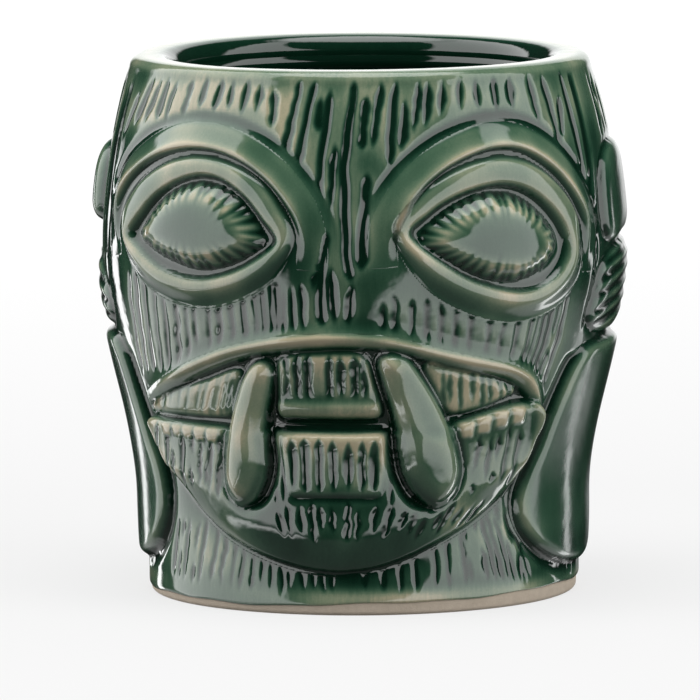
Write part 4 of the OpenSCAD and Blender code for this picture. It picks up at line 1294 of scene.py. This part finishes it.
# Name, azimuth, elevation, distance, size and power of the soft lights, which the glaze doesn't mirror
LIGHTS = [
    ("left_softbox", -78, 25, 1.4, 0.9, 9),
    ("right_softbox", 66, 25, 1.4, 0.9, 9),
    ("top_softbox", 0, 80, 1.5, 1.0, 12),
]
LIGHT_AIM = Vector((0, 0, 0.05))


def add_object(name, data):
    """New object in the scene."""
    obj = bpy.data.objects.new(name, data)
    bpy.context.scene.collection.objects.link(obj)
    obj.rotation_mode = "QUATERNION"
    return obj


def add_camera():
    """Camera at the photograph's viewing angle."""
    cam = add_object("camera", bpy.data.cameras.new("camera"))
    where = Vector((math.sin(CAM_AZ) * CAM_DIST, -math.cos(CAM_AZ) * CAM_DIST, CAM_HEIGHT))
    aim = Vector((math.cos(CAM_AZ) * AIM_SIDE, math.sin(CAM_AZ) * AIM_SIDE, AIM_Z))
    cam.location = where
    cam.rotation_quaternion = (aim - where).to_track_quat("-Z", "Y") @ Quaternion((0, 0, 1), CAM_ROLL)
    cam.data.lens, cam.data.sensor_width = LENS_MM, SENSOR_MM
    cam.data.clip_start, cam.data.clip_end = 0.1, 20
    bpy.context.scene.camera = cam


def add_floor():
    """Pale glowing floor with a painted shadow: it glows a little less near the mug. The glaze doesn't mirror
    it.
    """
    mesh = bpy.data.meshes.new("studio_floor")
    r = FLOOR_HALF
    mesh.from_pydata([(-r, -r, 0), (r, -r, 0), (r, r, 0), (-r, r, 0)], [], [(0, 1, 2, 3)])
    obj = add_object("studio_floor", mesh)
    mat, tree, nodes, links, bsdf = new_material("floor_look")
    bsdf.inputs["Base Color"].default_value = (FLOOR_GREY, FLOOR_GREY, FLOOR_GREY, 1)
    bsdf.inputs["Roughness"].default_value = 0.9
    reach = nodes.new("ShaderNodeVectorMath")
    reach.operation = "LENGTH"
    links.new(nodes.new("ShaderNodeTexCoord").outputs["Object"], reach.inputs[0])
    # Painted shadow: the floor's emission is weakest at the mug's foot and rises further out
    glow_with_painted_shadow = map_range(tree, reach.outputs["Value"], 0.15, 1.2, FLOOR_GLOW_IN_PAINTED_SHADOW, 1.0, smooth=False)
    links.new(glow_with_painted_shadow, bsdf.inputs["Emission Strength"])
    bsdf.inputs["Specular IOR Level"].default_value = 0.0
    bsdf.inputs["Emission Color"].default_value = (1, 1, 1, 1)
    mesh.materials.append(mat)
    obj.visible_glossy = False
    obj.visible_diffuse = False


def band(tree, over, under, low, high, soft):
    """1 where over is above low and under is below high, with soft edges."""
    rise = map_range(tree, over, low - soft, low + soft)
    fall = map_range(tree, under, high + soft, high - soft)
    return math_node(tree, "MULTIPLY", rise, fall)


def window_mask(tree, az, el, az0, az1, el0, el1, soft_az, soft_el, lean0, lean1):
    """1 inside a patch of directions with soft edges. az and el are node outputs, in degrees."""
    first = math_node(tree, "SUBTRACT", az, math_node(tree, "MULTIPLY", el, lean0))
    last = math_node(tree, "SUBTRACT", az, math_node(tree, "MULTIPLY", el, lean1))
    across = band(tree, first, last, az0, az1, soft_az)
    return math_node(tree, "MULTIPLY", across, band(tree, el, el, el0, el1, soft_el))


def add_world():
    """Soft fill light all round, white to the camera, and for glossy rays the patches above."""
    world = bpy.data.worlds.new("studio")
    bpy.context.scene.world = world
    world.use_nodes = True
    tree = world.node_tree
    tree.nodes.clear()
    nodes, links = tree.nodes, tree.links
    split = nodes.new("ShaderNodeSeparateXYZ")
    links.new(nodes.new("ShaderNodeTexCoord").outputs["Generated"], split.inputs[0])
    x, y, z = split.outputs
    back = math_node(tree, "MULTIPLY", y, -1.0)
    az = math_node(tree, "MULTIPLY", math_node(tree, "ARCTAN2", x, back), 180 / math.pi)
    el = math_node(tree, "MULTIPLY", math_node(tree, "ARCSINE", z), 180 / math.pi)
    total = DARK_ROOM
    for *patch, level in REFLECTED:
        mask = window_mask(tree, az, el, *patch)
        total = math_node(tree, "ADD", math_node(tree, "MULTIPLY", mask, level), total)
    glossy = nodes.new("ShaderNodeBackground")
    links.new(total, glossy.inputs["Strength"])
    plain = nodes.new("ShaderNodeBackground")
    plain.inputs["Color"].default_value = (1, 1, 1, 1)
    path = nodes.new("ShaderNodeLightPath")
    fill = map_range(tree, el, -35, 35, LOW_FILL, HIGH_FILL)
    links.new(math_node(tree, "MAXIMUM", fill, path.outputs["Is Camera Ray"]), plain.inputs["Strength"])
    mix = nodes.new("ShaderNodeMixShader")
    links.new(path.outputs["Is Glossy Ray"], mix.inputs[0])
    links.new(plain.outputs[0], mix.inputs[1])
    links.new(glossy.outputs[0], mix.inputs[2])
    links.new(mix.outputs[0], nodes.new("ShaderNodeOutputWorld").inputs["Surface"])


def add_light(name, az, el, dist, size, power):
    """Square area light that faces the mug."""
    data = bpy.data.lights.new(name, "AREA")
    data.shape, data.size, data.energy = "SQUARE", size, power
    obj = add_object(name, data)
    a, e = math.radians(az), math.radians(el)
    way = Vector((math.sin(a) * math.cos(e), -math.cos(a) * math.cos(e), math.sin(e)))
    obj.location = LIGHT_AIM + way * dist
    obj.rotation_quaternion = (-way).to_track_quat("-Z", "Y")
    obj.visible_glossy = False
    obj.visible_camera = False


add_camera()
add_floor()
add_world()
for light in LIGHTS:
    add_light(*light)
bpy.context.scene.view_settings.view_transform = "Standard"
